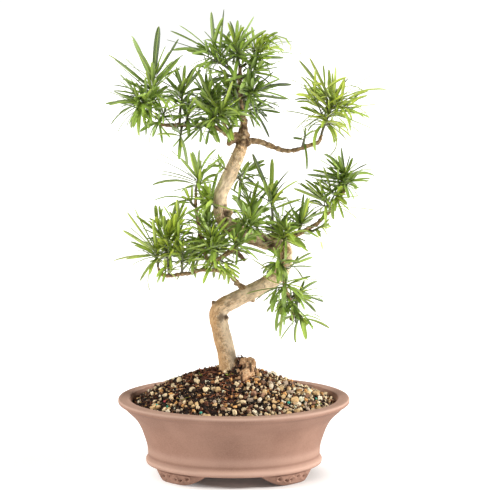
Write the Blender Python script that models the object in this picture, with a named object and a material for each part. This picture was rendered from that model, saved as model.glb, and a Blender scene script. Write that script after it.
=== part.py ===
"""Buddhist pine bonsai in an oval clay pot, at real size.

The pot, the soil mound, two drain screens, the wood (trunk, branches and surface root in one
piece) and each leafy shoot are separate solids. Lists of points are in millimetres, meshes in
metres, +Z up, +X to the right. The origin is under the middle of the plant, on the surface that
the pot stands on.
"""

import math
from collections import namedtuple

import bmesh
import bpy
import numpy as np
from mathutils import Matrix
from mathutils.bvhtree import BVHTree

MM = 0.001
FIT_GAP = 0.3

# Pot: an oval of 254 by 193 mm over the lip, 88 mm tall, on four feet
POT_X = -15.0
POT_HALF_LENGTH = 127.0
POT_HALF_DEPTH = 96.5
UNDERSIDE_Z = 14.0
FLOOR_Z = 22.0
FLOOR_OFFSET = -44.0
OVAL_SEGMENTS = 36
INNER_LIP = (-14.6, 83.2)

# Outer wall, lip and inner wall: distance outside the lip's oval, and height
POT_PROFILE = [
    (-33.4, UNDERSIDE_Z), (-30.4, 15.4), (-30.0, 19.6), (-32.1, 23.0), (-31.4, 34.0),
    (-28.2, 45.5), (-24.2, 56.0), (-18.6, 65.4), (-9.4, 74.4), (-3.2, 80.2), (-0.5, 83.4),
    (-0.4, 86.4), (-2.6, 87.6), (-11.8, 87.2), INNER_LIP, (-24.0, 68.0), (-35.0, 50.0),
    (-41.0, 28.0), (FLOOR_OFFSET, FLOOR_Z),
]

# Feet: low scrolled segments that follow the oval, flat in the middle of their underside
FOOT_ANGLES = (21.0, 70.0)
FOOT_STATIONS = 9
FOOT_OUTER_OFFSET = -35.0
FOOT_WIDTH = 13.0
FOOT_BULGE = 1.5
FOOT_END_RISE = 12.0
FOOT_END_TAPER = 0.35
FOOT_SINK = 2.0
FOOT_FLAT_SHARE = 0.53
FOOT_CURL_POWER = 1.1
FOOT_LEAN = 3.0
FOOT_DRAFT = 1.0
FOOT_EDGE_ROUND = 2.5

DRAIN_HOLE_DIAMETER = 18.0
DRAIN_HOLE_SPACING = 74.0
DRILL_OVERSHOOT = 5.0
HOLE_SEGMENTS = 16

# Drain screens: moulded plastic mesh squares over the drain holes
SCREEN_SIZE = 30.0
SCREEN_THICKNESS = 1.4
SCREEN_HOLES = 3
SCREEN_BAR = 2.4

# Soil: fills the pot and rises in a mound round the trunk
SOIL_EDGE_Z = 82.0
SOIL_RISE = 37.0
SOIL_RINGS = 9
SOIL_GRIT = 1.5
SOIL_INSET = 0.42
SOIL_SHOULDER = 1.15
HOLE_ALLOWANCE = 1.1
SOIL_TOP_CENTRE = (-18.0, 4.0)
ROOT_HEAP = (-5.0, -6.0, 9.0, 11.0)

# Wood, as points of x, y, z and diameter
WOOD_STEP = 14.0
TRUNK_SIDES = 10
THICK_BRANCH = 8.0
TRUNK = [
    (-20, 2, 92, 24), (-20, 1, 106, 24), (-20, 0, 118, 22.5), (-22, -1, 130, 20.5), (-24, -1, 141, 19.5),
    (-29, -3, 163, 19), (-32, -5, 180, 20), (-27, -5, 189, 18.5), (-15, -3, 195, 17.5), (6, 1, 205, 17),
    (23, 5, 214, 17.5), (36, 8, 224, 17), (41, 8, 237, 15.5), (40, 6, 250, 16.5), (30, 3, 257, 16),
    (20, 0, 259, 15.5), (-2, -4, 267, 15.5), (-15, -6, 274, 16), (-25, -7, 284, 17), (-29, -7, 297, 15.5),
    (-28, -5, 313, 15), (-18.5, -2, 333, 15.5), (-11, 0, 350, 14), (-6, 2, 364, 13.5), (-5, 3, 377, 10),
    (-4, 3, 390, 7), (-8, 2, 407, 6.5), (-8, 1, 424, 6), (-8, 0, 437, 5), (-8, 0, 447, 4),
]
BRANCHES = {
    "left_upper": [
        (-9, 2, 373, 6), (-20, -4, 375, 5.5), (-38, -9, 385, 5), (-62, -13, 386, 4.6),
        (-83, -16, 386, 4.2), (-98, -18, 388, 3.8), (-107, -19, 393, 3.6), (-105, -19, 402, 3.4),
    ],
    "right_upper": [
        (-5, 2, 368, 6), (13, 6, 367, 5.2), (28, 8, 361, 5), (41, 10, 357, 4.8), (54, 11, 358, 4.6),
        (64, 11, 362, 4.4), (71, 11, 364, 4.2), (77, 11, 367, 4), (80, 11, 374, 3.6),
    ],
    "left_lower": [
        (3, 0, 205, 6), (-7, -5, 211, 5), (-16, -9, 221, 4.4), (-25, -12, 228, 4.2),
        (-47, -16, 231, 4), (-60, -18, 228, 4), (-70, -19, 227, 3.8), (-84, -20, 225, 3.6),
        (-92, -21, 227, 3.4), (-96, -21, 235, 3.2),
    ],
    "left_middle": [
        (-2, -4, 266, 7), (-10, -12, 259, 5.5), (-15, -14, 253, 5), (-23, -17, 248, 4.8),
        (-31, -19, 243, 4.4), (-41, -18, 241, 4.2), (-47, -15, 252, 4), (-50, -13, 267, 3.8),
        (-52, -13, 277, 3.6), (-55, -14, 298, 3.4), (-55, -14, 313, 3.2),
    ],
    "right_middle": [
        (38, 6, 252, 7), (45, 6, 261, 5.4), (64, 9, 271, 5), (76, 11, 278, 4.6), (85, 12, 287, 4.4),
        (92, 13, 294, 4.2), (102, 14, 308, 3.8), (106, 14, 315, 3.4),
    ],
    "right_drooping": [
        (42, 2, 248, 7), (43, -7, 250, 5.5), (40, -12, 243, 5), (39, -14, 232, 4.6),
        (40, -15, 213, 4.4), (45, -15, 200, 4), (50, -15, 185, 3.4),
    ],
    "surface_root": [
        (-20, 0, 116, 12), (-12, -3, 124, 12), (-3, -7, 127, 12.5), (1, -13, 122, 12),
        (-3, -20, 116, 11), (-8, -27, 108, 10), (-10, -30, 98, 8),
    ],
    "root_strand": [(-1, -7, 129, 5), (5, -8, 128, 5), (8, -9, 121, 5), (9, -10, 110, 4.5)],
    "dead_twig": [(-14, -14, 252, 4), (-8, -15, 247, 3), (-3, -16, 241, 2.6)],
    "pruned_tip": [(49, -15, 187, 4), (49, -15, 180, 3.2), (47, -15, 176, 4.2)],
    "pruned_stub": [(-21, -6, 376, 4), (-25, -11, 388, 3.4), (-26, -12, 394, 3.8)],
}

# Knots and healed scars on the bends of the trunk: place and size of each lump
KNOTS = [
    (-23, -9, 177, 9), (-36, -8, 192, 8), (-17, -1, 369, 8), (-22, -12, 285, 10), (34, 2, 228, 9),
    (40, 12, 246, 11), (-11, -10, 265, 11), (4, -2, 198, 8),
]

# Leaves: straps with a raised midrib, narrower the younger they are
LEAF_WIDTH = 5.3
LEAF_NARROWING = 0.35
LEAF_RIB = 1.0
LEAF_TIP_RIB = 0.6
LEAF_EDGE_DROP = 0.3
LEAF_ROOT_WIDTH = 1.4
LEAF_STATIONS = (0.3, 0.7)
LEAF_BENT_STATIONS = (0.24, 0.5, 0.77)
LEAF_STRONG_BEND = 38.0
LEAF_OUTLINE = ((0.24, 0.86), (0.3, 0.95), (0.5, 1.0), (0.7, 0.84), (0.77, 0.7), (1.0, 0.0))

# Green stems: a rod with a pointed bud
STEM_DIAMETER = 3.0
BUD_DIAMETER = 2.0
BUD_LENGTH = 4.0
BUD_POINT_DIAMETER = 0.7
RIM_MARGIN = 0.1
SIDEWAYS = (0.3, 0.9, 0.1)

# Placing of the leaves on a stem: shares of the way from foot to bud, tries with growing shifts
TIPPED_SHARES = (0.12, 0.94)
SPIRAL_SHARES = (0.16, 0.96)
ROOT_OFFSET = 0.3
TIP_SHIFT = (3.0, 14.0, 3.0)
BEND_SHIFT = 8.0
ROLL_SHIFT = 0.5
GOLDEN_ANGLE = math.radians(137.508)
OPENING_AT_FOOT = 94.0
OPENING_FALL = 62.0
LEAF_TRIES = 14

# What leaves keep clear of: the pot and soil, rods of wood and stem, and each other
LOWEST_LEAF_Z = 135.0
ROD_STEP = 3.0
ROD_CLEARANCE = 0.8
LEAF_CLEARANCE = 0.5
SAME_STEM_CLEARANCE = 0.1
ROOT_SHARE = 0.12
CHECKED_SHARES = (0.16, 1.0)
SHOOT_SOLVER = "MANIFOLD"

Shoot = namedtuple("Shoot", "name joint foot bud count length youth tips")
Leaf = namedtuple("Leaf", "base start turn length bend roll width")

# Shoots: name, point on the wood, foot and bud of the green stem, number of leaves, leaf length,
# youth (0 old to 3 new), then the tips of the leaves that stand out, with their bend in degrees
# and youth
SHOOT_ROWS = [
    ("left_top", (-105, -19, 402), (-103, -19, 406), (-98, -15, 440), 12, 46, 0, [
        (-147, -15, 463, 10, 3), (-133, -15, 484, 5, 1), (-122, -15, 480, 8, 0), (-92, -15, 490, 6, 0),
        (-70, -15, 476, 5, 1), (-71, 8, 457, 12, 0), (-66, -37, 450, 15, 1), (-140, 0, 451, 10, 0),
        (-132, -32, 435, 30, 1), (-143, -15, 428, 30, 0), (-142, -15, 423, 30, 1),
    ]),
    ("left_low", (-106, -19, 396), (-110, -22, 399), (-114, -28, 412), 8, 36, 0, [
        (-145, -28, 407, 45, 0), (-137, -10, 397, 40, 1), (-144, -28, 387, 45, 0),
        (-124, -10, 382, 60, 1), (-113, -28, 375, 70, 3), (-108, -28, 375, 60, 1),
        (-92, -29, 390, 60, 3),
    ]),
    ("left_mid", (-72, -14, 386), (-71, -13, 403), (-67, -10, 429), 9, 36, 0, [
        (-75, -24, 448, 6, 0), (-68, 4, 449, 5, 1), (-58, -17, 433, 35, 1), (-88, 5, 437, 15, 0),
        (-50, -25, 442, 12, 0), (-94, 9, 417, 30, 1),
    ]),
    ("left_under", (-69, -14, 386), (-70, -19, 381), (-71, -24, 372), 6, 38, 0, [
        (-95, -42, 378, 20, 2), (-94, -24, 403, -5, 0), (-84, -24, 407, 0, 0), (-48, -7, 395, -30, 0),
        (-71, -39, 351, 10, 0),
    ]),
    ("left_inner", (-39, -9, 385), (-41, -6, 398), (-43, -2, 418), 8, 36, 0, [
        (-56, -18, 437, 5, 0), (-46, 14, 441, 5, 1), (-63, -16, 421, 20, 0), (-27, 13, 433, 10, 0),
        (-61, -18, 404, 30, 1),
    ]),
    ("inner_front", (-28, -7, 379), (-31, -12, 388), (-27, -19, 404), 6, 44, 1, [
        (-59, -18, 449, 8, 2), (-47, -18, 460, 5, 1), (-14, -39, 434, 0, 2), (-28, 1, 429, 0, 2),
    ]),
    ("apex_left", (-8, 0, 436), (-25, -3, 449), (-41, -8, 465), 9, 46, 0, [
        (-40, -10, 505, -6, 2), (-22, -8, 508, 4, 0), (-72, -8, 491, 20, 0), (-82, -8, 485, 12, 2),
        (-86, -8, 476, 8, 0), (-92, -8, 471, 5, 2), (-27, -28, 491, 5, 1), (-57, 8, 448, 20, 1),
    ]),
    ("apex_centre", (-8, 0, 446), (-9, 0, 451), (-13, -5, 471), 10, 36, 0, [
        (-19, -22, 494, 0, 2), (-12, 13, 497, 0, 1), (-30, -17, 473, 12, 0), (-3, 8, 487, 10, 1),
        (-27, -18, 483, 8, 1), (5, 7, 475, 20, 0),
    ]),
    ("apex_right", (-8, 0, 446), (1, 3, 452), (16, 7, 466), 8, 34, 2, [
        (19, -4, 482, -10, 1), (32, 21, 477, 20, 3), (45, 7, 477, 25, 1), (41, 25, 460, 110, 3),
        (25, -1, 461, 120, 3), (36, 22, 459, 95, 3), (39, -8, 456, 10, 0),
    ]),
    ("apex_low_right", (-8, 0, 435), (-2, -4, 437), (9, -11, 444), 7, 34, 0, [
        (36, -23, 448, 25, 0), (30, 4, 450, 30, 1), (27, -25, 438, 15, 1), (15, 3, 425, 60, 1),
        (36, -15, 454, 10, 0),
    ]),
    ("apex_low_left", (-8, 0, 433), (-14, 7, 435), (-26, 15, 441), 6, 36, 0, [
        (-57, 10, 448, 15, 0), (-44, 27, 439, 20, 1), (-45, -1, 429, 25, 1), (-42, 30, 426, 20, 0),
    ]),
    ("leader_right", (-8, 1, 414), (-2, -3, 415), (9, -10, 423), 8, 40, 0, [
        (35, -28, 435, 8, 0), (36, 9, 429, 8, 1), (26, -22, 426, 15, 0), (29, 4, 417, -25, 1),
        (43, -15, 419, 30, 1),
    ]),
    ("leader_low_right", (-5, 2, 399), (-1, 5, 399), (10, 9, 404), 8, 38, 0, [
        (36, -9, 411, 10, 1), (31, 23, 402, 5, 0), (36, -9, 400, 5, 0), (46, 22, 398, 15, 1),
        (15, -2, 389, 25, 1), (22, 20, 393, 30, 0), (13, -6, 383, 10, 0),
    ]),
    ("leader_left", (-8, 1, 415), (-13, 9, 415), (-23, 20, 419), 5, 32, 0, [
    ]),
    ("leader_back", (-6, 2, 405), (-5, 10, 408), (-1, 30, 416), 7, 38, 0, [
    ]),
    ("right_top", (80, 11, 374), (81, 11, 379), (94, 8, 412), 14, 44, 2, [
        (134, 8, 381, 12, 1), (54, 8, 367, -5, 2), (106, 8, 370, 10, 2), (94, 8, 365, 70, 2),
        (40, 8, 400, 15, 1), (57, 28, 404, 25, 1), (57, 8, 386, 80, 2), (132, 17, 390, 45, 3),
        (110, -13, 387, 80, 3), (118, 30, 386, 60, 1), (57, 8, 456, 6, 1), (64, 8, 456, 10, 3),
        (93, -4, 448, 0, 1), (136, 8, 440, 10, 2), (123, -12, 421, 140, 2), (150, 8, 423, 45, 2),
        (127, -8, 419, 5, 1), (50, 13, 411, 100, 2), (55, 1, 409, 100, 3), (60, 30, 426, 80, 3),
    ]),
    ("right_small", (59, 11, 360), (60, 10, 364), (62, 8, 373), 3, 18, 0, [
        (67, 8, 338, 50, 2), (49, 17, 370, 10, 1), (72, 1, 372, 10, 1),
    ]),
    ("middle_top", (-55, -14, 313), (-55, -14, 318), (-51, -13, 335), 10, 42, 1, [
        (-100, -13, 351, 20, 0), (-96, -13, 338, 20, 1), (-95, -13, 334, 15, 1), (-101, -13, 320, 55, 1),
        (-81, -17, 315, 10, 1), (-83, -1, 359, 8, 2), (-70, -31, 353, 8, 1), (-57, 0, 352, 0, 3),
        (-52, -27, 357, -8, 1), (-35, 0, 345, 10, 0), (-25, -31, 355, 0, 0), (-42, 5, 308, 8, 3),
    ]),
    ("middle_small", (-55, -14, 299), (-58, -17, 301), (-62, -21, 308), 5, 28, 2, [
        (-100, -21, 305, 60, 0), (-82, -7, 300, 40, 1), (-65, -29, 321, -10, 3), (-59, -11, 321, 0, 3),
    ]),
    ("low_left_end", (-96, -21, 235), (-96, -21, 240), (-98, -24, 255), 11, 40, 1, [
        (-99, -36, 289, 0, 1), (-133, -24, 277, 20, 1), (-129, -24, 294, 0, 2), (-121, -24, 299, 0, 2),
        (-125, -24, 278, 10, 1), (-128, -4, 259, 20, 1), (-129, -33, 244, 20, 1),
        (-144, -24, 242, 25, 2), (-123, -39, 239, 30, 1), (-116, -13, 218, 20, 2),
        (-105, -43, 230, 30, 1), (-80, -6, 223, 10, 1), (-104, -24, 209, 75, 2),
    ]),
    ("low_left_up", (-84, -20, 225), (-85, -17, 240), (-85, -12, 269), 8, 34, 1, [
        (-96, -12, 300, -6, 1), (-75, -12, 303, 4, 0), (-66, -12, 299, 5, 1), (-64, -5, 295, 10, 2),
        (-58, -12, 287, 10, 0), (-61, 5, 261, 15, 0),
    ]),
    ("low_left_inner", (-70, -19, 227), (-70, -22, 234), (-69, -27, 253), 7, 28, 0, [
        (-57, -36, 248, 20, 1), (-50, -13, 260, 10, 0), (-82, -39, 266, 10, 1),
    ]),
    ("middle_low", (-32, -19, 243), (-36, -21, 249), (-39, -26, 269), 8, 34, 0, [
        (-60, -42, 282, 10, 1), (-65, -9, 267, 15, 0), (-20, -42, 286, 10, 0), (-18, -11, 271, 20, 1),
    ]),
    ("middle_front", (-36, -19, 242), (-37, -24, 240), (-39, -35, 236), 6, 30, 3, [
        (-20, -48, 244, 5, 3), (-56, -23, 230, 20, 3), (-47, -48, 221, 30, 2), (-25, -23, 224, 30, 3),
    ]),
    ("middle_right", (-14, -14, 254), (-13, -18, 253), (-14, -28, 264), 7, 34, 0, [
        (16, -28, 272, 40, 0), (6, -13, 253, 30, 1), (3, -39, 264, 10, 1), (-18, -12, 239, 20, 1),
        (-25, -40, 279, 5, 1),
    ]),
    ("middle_up", (-48, -14, 264), (-45, -10, 270), (-41, -5, 287), 8, 32, 0, [
        (-58, -18, 295, 10, 0), (-46, 9, 305, 5, 0), (-27, -15, 292, 15, 1), (-62, 10, 279, 20, 1),
    ]),
    ("middle_left", (-44, -16, 244), (-50, -12, 242), (-58, -4, 249), 7, 32, 0, [
        (-77, -19, 240, 30, 1), (-73, 10, 260, 10, 1),
    ]),
    ("middle_back", (-41, -18, 240), (-36, 0, 244), (-30, 28, 257), 7, 36, 0, [
    ]),
    ("neck_left", (-26, -7, 292), (-35, -15, 300), (-41, -20, 307), 4, 32, 0, [
        (-7, -20, 293, 15, 1), (-46, -6, 325, -8, 2), (-53, -34, 292, 40, 1),
    ]),
    ("neck_right", (-16, -2, 331), (-10, 7, 328), (-3, 13, 334), 5, 28, 0, [
        (6, 3, 346, 20, 1), (20, 26, 341, 12, 0), (-5, 0, 315, 10, 0),
    ]),
    ("shelf_back", (16, 0, 259), (9, 13, 277), (1, 18, 303), 8, 32, 0, [
        (10, 3, 326, 10, 1), (-18, 31, 304, 10, 1), (-8, 4, 324, 8, 0), (16, 29, 296, 20, 1),
    ]),
    ("shelf_front", (3, -4, 265), (3, -12, 274), (3, -17, 285), 7, 32, 0, [
        (-14, -20, 307, 10, 0), (-8, 1, 297, 5, 1), (20, -24, 279, 15, 1), (16, 0, 292, 10, 1),
    ]),
    ("shelf_upright", (27, 2, 258), (27, 5, 289), (24, 3, 314), 8, 42, 0, [
        (5, 3, 355, -4, 1), (29, 24, 348, 0, 1), (56, -10, 326, 30, 1), (46, 20, 325, 50, 1),
        (59, -6, 306, 10, 1), (10, 16, 327, -25, 1), (39, -8, 316, 40, 2),
    ]),
    ("bend_front", (39, 4, 254), (40, -6, 259), (43, -14, 273), 8, 32, 1, [
        (63, -23, 256, 40, 1), (57, 1, 252, 15, 1), (29, -26, 284, 5, 0), (26, -2, 270, 20, 2),
    ]),
    ("bend_right", (53, 7, 266), (55, 2, 270), (60, -3, 283), 8, 34, 0, [
        (64, -18, 310, 0, 0), (59, 7, 297, -5, 0), (66, -14, 312, 0, 3), (44, 13, 306, 5, 0),
        (38, -19, 296, 10, 1),
    ]),
    ("bend_tip", (66, 9, 272), (70, 5, 270), (80, 0, 276), 6, 22, 3, [
        (92, -6, 287, -10, 3), (90, 12, 273, 10, 3), (80, -1, 270, 20, 3),
    ]),
    ("bend_back", (37, 6, 256), (37, 16, 263), (35, 36, 274), 7, 36, 0, [
    ]),
    ("far_right_top", (106, 14, 315), (107, 14, 319), (105, 12, 332), 10, 34, 0, [
        (77, 12, 348, 5, 2), (94, 28, 352, 5, 1), (97, -3, 353, 5, 0), (116, 26, 348, 5, 2),
        (129, 1, 344, 20, 1), (135, 28, 325, 20, 1), (123, -4, 319, 10, 2), (121, 29, 305, 30, 1),
        (70, 12, 334, 20, 1), (64, 12, 331, 10, 0), (76, 2, 333, 20, 0),
    ]),
    ("far_right_low", (92, 13, 294), (89, 9, 295), (84, 3, 304), 7, 38, 1, [
        (48, 3, 316, 10, 1), (53, 14, 322, 5, 2), (61, -12, 325, 0, 1), (74, 17, 320, -20, 1),
        (139, 3, 293, 10, 2), (109, 21, 289, 30, 1),
    ]),
    ("droop_top", (39, -12, 242), (36, -18, 241), (31, -27, 239), 5, 26, 1, [
        (15, -38, 239, 50, 0), (32, -15, 255, -10, 3), (36, -38, 221, 15, 3), (20, -16, 226, 30, 1),
    ]),
    ("droop_side", (39, -13, 235), (44, -10, 232), (50, -6, 236), 4, 26, 1, [
        (69, -11, 249, 25, 1), (71, 7, 242, 5, 1), (70, -16, 234, 15, 2),
    ]),
    ("droop_mid", (40, -15, 211), (40, -21, 211), (41, -31, 221), 8, 32, 1, [
        (93, -31, 222, 30, 2), (69, -16, 223, 20, 1), (59, -45, 215, 20, 2), (4, -31, 246, 5, 2),
        (16, -41, 230, -50, 3), (-2, -31, 208, 15, 2),
    ]),
    ("droop_low", (45, -15, 199), (49, -11, 199), (56, -6, 204), 7, 30, 0, [
        (83, -6, 200, 15, 2), (83, 5, 194, 15, 1), (73, -20, 195, 25, 2),
    ]),
    ("droop_tip", (50, -15, 185), (55, -17, 183), (60, -23, 178), 7, 32, 1, [
        (78, -36, 182, 80, 2), (72, -9, 167, 10, 1), (62, -36, 159, 5, 2), (33, -11, 157, 15, 2),
        (30, -21, 165, 85, 1),
    ]),
]
SHOOTS = [Shoot(*row) for row in SHOOT_ROWS]


def clear_scene():
    """Start from an empty scene."""
    for obj in list(bpy.data.objects):
        bpy.data.objects.remove(obj, do_unlink=True)


def make_collection(name):
    collection = bpy.data.collections.new(name)
    bpy.context.scene.collection.children.link(collection)
    return collection


def make_material(name, colour, roughness):
    material = bpy.data.materials.new(name)
    material.use_nodes = True
    shader = material.node_tree.nodes["Principled BSDF"]
    shader.inputs["Base Color"].default_value = (*colour, 1.0)
    shader.inputs["Roughness"].default_value = roughness
    shader.inputs["Metallic"].default_value = 0.0
    return material


def mesh_object(name, vertices, faces, collection):
    """An object from points in millimetres."""
    mesh = bpy.data.meshes.new(name)
    mesh.from_pydata((np.asarray(vertices) * MM).tolist(), [], faces)
    mesh.validate()
    obj = bpy.data.objects.new(name, mesh)
    collection.objects.link(obj)
    return obj


def finish(obj, material):
    """Give a piece its material and smooth shading with sharp edges kept."""
    obj.data.materials.clear()
    obj.data.materials.append(material)
    obj.data.shade_smooth()
    obj.data.set_sharp_from_angle(angle=math.radians(40.0))
    return obj


def apply_boolean(obj, operation, solver, other=None, collection=None):
    """Cut or join with one object or a whole collection, and apply it."""
    modifier = obj.modifiers.new("Boolean", "BOOLEAN")
    modifier.operation = operation
    modifier.solver = solver
    if collection is None:
        modifier.object = other
    else:
        modifier.operand_type = "COLLECTION"
        modifier.collection = collection
    bpy.context.view_layer.objects.active = obj
    bpy.ops.object.modifier_apply(modifier=modifier.name)


def join_all(obj, others, solver="EXACT"):
    """Union of an object with a list of others, which are then removed."""
    group = make_collection(obj.name + "_joined")
    for other in others:
        for owner in list(other.users_collection):
            owner.objects.unlink(other)
        group.objects.link(other)
    apply_boolean(obj, "UNION", solver, collection=group)
    for other in list(group.objects):
        bpy.data.objects.remove(other, do_unlink=True)
    bpy.data.collections.remove(group)
    return obj


def tube(name, rows, sides, collection):
    """A closed tube through rows of x, y, z and diameter, made as a curve and turned to a mesh."""
    curve = bpy.data.curves.new(name, "CURVE")
    curve.dimensions = "3D"
    curve.bevel_depth = MM
    curve.bevel_resolution = (sides - 4) // 2
    curve.use_fill_caps = True
    spline = curve.splines.new("POLY")
    spline.points.add(len(rows) - 1)
    for point, (x, y, z, diameter) in zip(spline.points, rows):
        point.co = (x * MM, y * MM, z * MM, 1.0)
        point.radius = diameter / 2.0
    guide = bpy.data.objects.new(name + "_curve", curve)
    collection.objects.link(guide)
    depsgraph = bpy.context.evaluated_depsgraph_get()
    mesh = bpy.data.meshes.new_from_object(guide.evaluated_get(depsgraph))
    welded = bmesh.new()
    welded.from_mesh(mesh)
    bmesh.ops.remove_doubles(welded, verts=welded.verts, dist=0.00001)
    welded.to_mesh(mesh)
    welded.free()
    obj = bpy.data.objects.new(name, mesh)
    obj.matrix_world = guide.matrix_world
    collection.objects.link(obj)
    bpy.data.objects.remove(guide, do_unlink=True)
    bpy.data.curves.remove(curve)
    return obj


def smooth_rows(rows, step):
    """Points about a step apart on the smooth curve through the rows (Catmull-Rom)."""
    rows = np.asarray(rows, float)
    padded = np.vstack([2 * rows[0] - rows[1], rows, 2 * rows[-1] - rows[-2]])
    result = []
    for p0, p1, p2, p3 in zip(padded, padded[1:], padded[2:], padded[3:]):
        count = max(1, int(round(np.linalg.norm((p2 - p1)[:3]) / step)))
        t = (np.arange(count) / count)[:, None]
        result.append(0.5 * (2 * p1 + (p2 - p0) * t + (2 * p0 - 5 * p1 + 4 * p2 - p3) * t ** 2
                             + (3 * p1 - p0 - 3 * p2 + p3) * t ** 3))
    result.append(rows[-1:])
    return np.vstack(result)


def oval_ring(offset, z, scale=1.0):
    """Points round the pot's oval, at a distance outside the lip's own oval."""
    angles = np.linspace(0.0, 2.0 * math.pi, OVAL_SEGMENTS, endpoint=False)
    x = POT_X + scale * (POT_HALF_LENGTH + offset) * np.cos(angles)
    y = scale * (POT_HALF_DEPTH + offset) * np.sin(angles)
    return np.column_stack([x, y, np.full(OVAL_SEGMENTS, float(z))])


def loft(name, rings, start, end, collection):
    """A closed solid through rings of equal count, with a fan to a point at each end."""
    count = len(rings[0])
    vertices = np.vstack(rings + [np.array([start, end], float)])
    first, last = len(vertices) - 2, len(vertices) - 1
    faces = []
    for ring in range(len(rings) - 1):
        for k in range(count):
            a, b = ring * count + k, ring * count + (k + 1) % count
            faces.append((a, b, b + count, a + count))
    top = (len(rings) - 1) * count
    for k in range(count):
        faces.append((first, (k + 1) % count, k))
        faces.append((last, top + k, top + (k + 1) % count))
    return mesh_object(name, vertices, faces, collection)


def foot_solid(name, centre_angle, collection):
    """One foot: sections along the oval, flat in the middle and curling up at both ends."""
    half = math.radians((FOOT_ANGLES[1] - FOOT_ANGLES[0]) / 2.0)
    sections = []
    for t in np.linspace(-1.0, 1.0, FOOT_STATIONS):
        angle = centre_angle + half * t
        along = np.array([math.cos(angle), math.sin(angle)])
        curl = max(0.0, (abs(t) - FOOT_FLAT_SHARE) / (1.0 - FOOT_FLAT_SHARE)) ** FOOT_CURL_POWER
        low = curl * FOOT_END_RISE
        high = UNDERSIDE_Z + FOOT_SINK
        bulge = FOOT_BULGE * (1.0 - curl)
        inward = FOOT_WIDTH * (1.0 - FOOT_END_TAPER * curl)
        section = []
        for offset, z in [
            (0.0, high), (-inward, high), (-inward + FOOT_DRAFT, low),
            (-FOOT_LEAN - 2.0 * FOOT_DRAFT, low), (bulge - FOOT_LEAN, low + FOOT_EDGE_ROUND),
            (bulge, 0.5 * (low + high)),
        ]:
            axes = np.array([POT_HALF_LENGTH, POT_HALF_DEPTH]) + FOOT_OUTER_OFFSET + offset
            x, y = axes * along
            section.append((POT_X + x, y, z))
        sections.append(section)
    sides = len(sections[0])
    vertices = np.array(sections).reshape(-1, 3)
    faces = [tuple(range(sides))]
    for s in range(FOOT_STATIONS - 1):
        for k in range(sides):
            a, b = s * sides + k, s * sides + (k + 1) % sides
            faces.append((a, a + sides, b + sides, b))
    faces.append(tuple(reversed(range((FOOT_STATIONS - 1) * sides, FOOT_STATIONS * sides))))
    return mesh_object(name, vertices, faces, collection)


def vertical_cylinder(name, x, y, low, high, diameter, collection):
    mesh = bpy.data.meshes.new(name)
    shape = bmesh.new()
    bmesh.ops.create_cone(shape, cap_ends=True, segments=HOLE_SEGMENTS, radius1=diameter / 2 * MM,
                          radius2=diameter / 2 * MM, depth=(high - low) * MM)
    bmesh.ops.translate(shape, verts=shape.verts, vec=(x * MM, y * MM, (low + high) / 2 * MM))
    shape.to_mesh(mesh)
    shape.free()
    obj = bpy.data.objects.new(name, mesh)
    obj.hide_render = True
    obj.display_type = "WIRE"
    collection.objects.link(obj)
    return obj


def build_pot(collection, cutters, material):
    """Fired clay pot: wall, lip, band, floor and four feet, with two drain holes."""
    rings = [oval_ring(offset, z) for offset, z in POT_PROFILE]
    pot = loft("pot", rings, (POT_X, 0, UNDERSIDE_Z), (POT_X, 0, FLOOR_Z), collection)
    middle = math.radians(sum(FOOT_ANGLES) / 2.0)
    corners = [middle, math.pi - middle, math.pi + middle, -middle]
    feet = [foot_solid("foot_%d" % k, angle, cutters) for k, angle in enumerate(corners)]
    join_all(pot, feet)
    for side in (-0.5, 0.5):
        x = POT_X + side * DRAIN_HOLE_SPACING
        drill = vertical_cylinder("drain_hole", x, 0, UNDERSIDE_Z - DRILL_OVERSHOOT,
                                  FLOOR_Z + DRILL_OVERSHOOT, DRAIN_HOLE_DIAMETER, cutters)
        apply_boolean(pot, "DIFFERENCE", "EXACT", other=drill)
        bpy.data.objects.remove(drill, do_unlink=True)
    return finish(pot, material)


def build_screen(name, side, collection, cutters, material):
    """Square plastic mesh that keeps the soil off one drain hole."""
    low = FLOOR_Z + FIT_GAP
    x = POT_X + side * DRAIN_HOLE_SPACING
    bpy.ops.mesh.primitive_cube_add(size=1.0)
    screen = bpy.context.active_object
    screen.name = name
    for owner in list(screen.users_collection):
        owner.objects.unlink(screen)
    collection.objects.link(screen)
    screen.data.transform(scale_move(SCREEN_SIZE, SCREEN_SIZE, SCREEN_THICKNESS, x, 0,
                                     low + SCREEN_THICKNESS / 2))
    pitch = (SCREEN_SIZE - SCREEN_BAR) / SCREEN_HOLES
    shape = bmesh.new()
    for row in range(SCREEN_HOLES):
        for column in range(SCREEN_HOLES):
            cx = x + (column - (SCREEN_HOLES - 1) / 2) * pitch
            cy = (row - (SCREEN_HOLES - 1) / 2) * pitch
            width = pitch - SCREEN_BAR
            bmesh.ops.create_cube(shape, size=1.0, matrix=scale_move(
                width, width, SCREEN_THICKNESS * 3, cx, cy, low + SCREEN_THICKNESS / 2))
    mesh = bpy.data.meshes.new(name + "_openings")
    shape.to_mesh(mesh)
    shape.free()
    punch = bpy.data.objects.new(name + "_openings", mesh)
    cutters.objects.link(punch)
    apply_boolean(screen, "DIFFERENCE", "EXACT", other=punch)
    bpy.data.objects.remove(punch, do_unlink=True)
    return finish(screen, material)


def scale_move(sx, sy, sz, x, y, z):
    """Matrix that scales a unit cube to a size and moves it, both in millimetres."""
    return Matrix.Translation((x * MM, y * MM, z * MM)) @ Matrix.Diagonal((sx * MM, sy * MM, sz * MM, 1))


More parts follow.
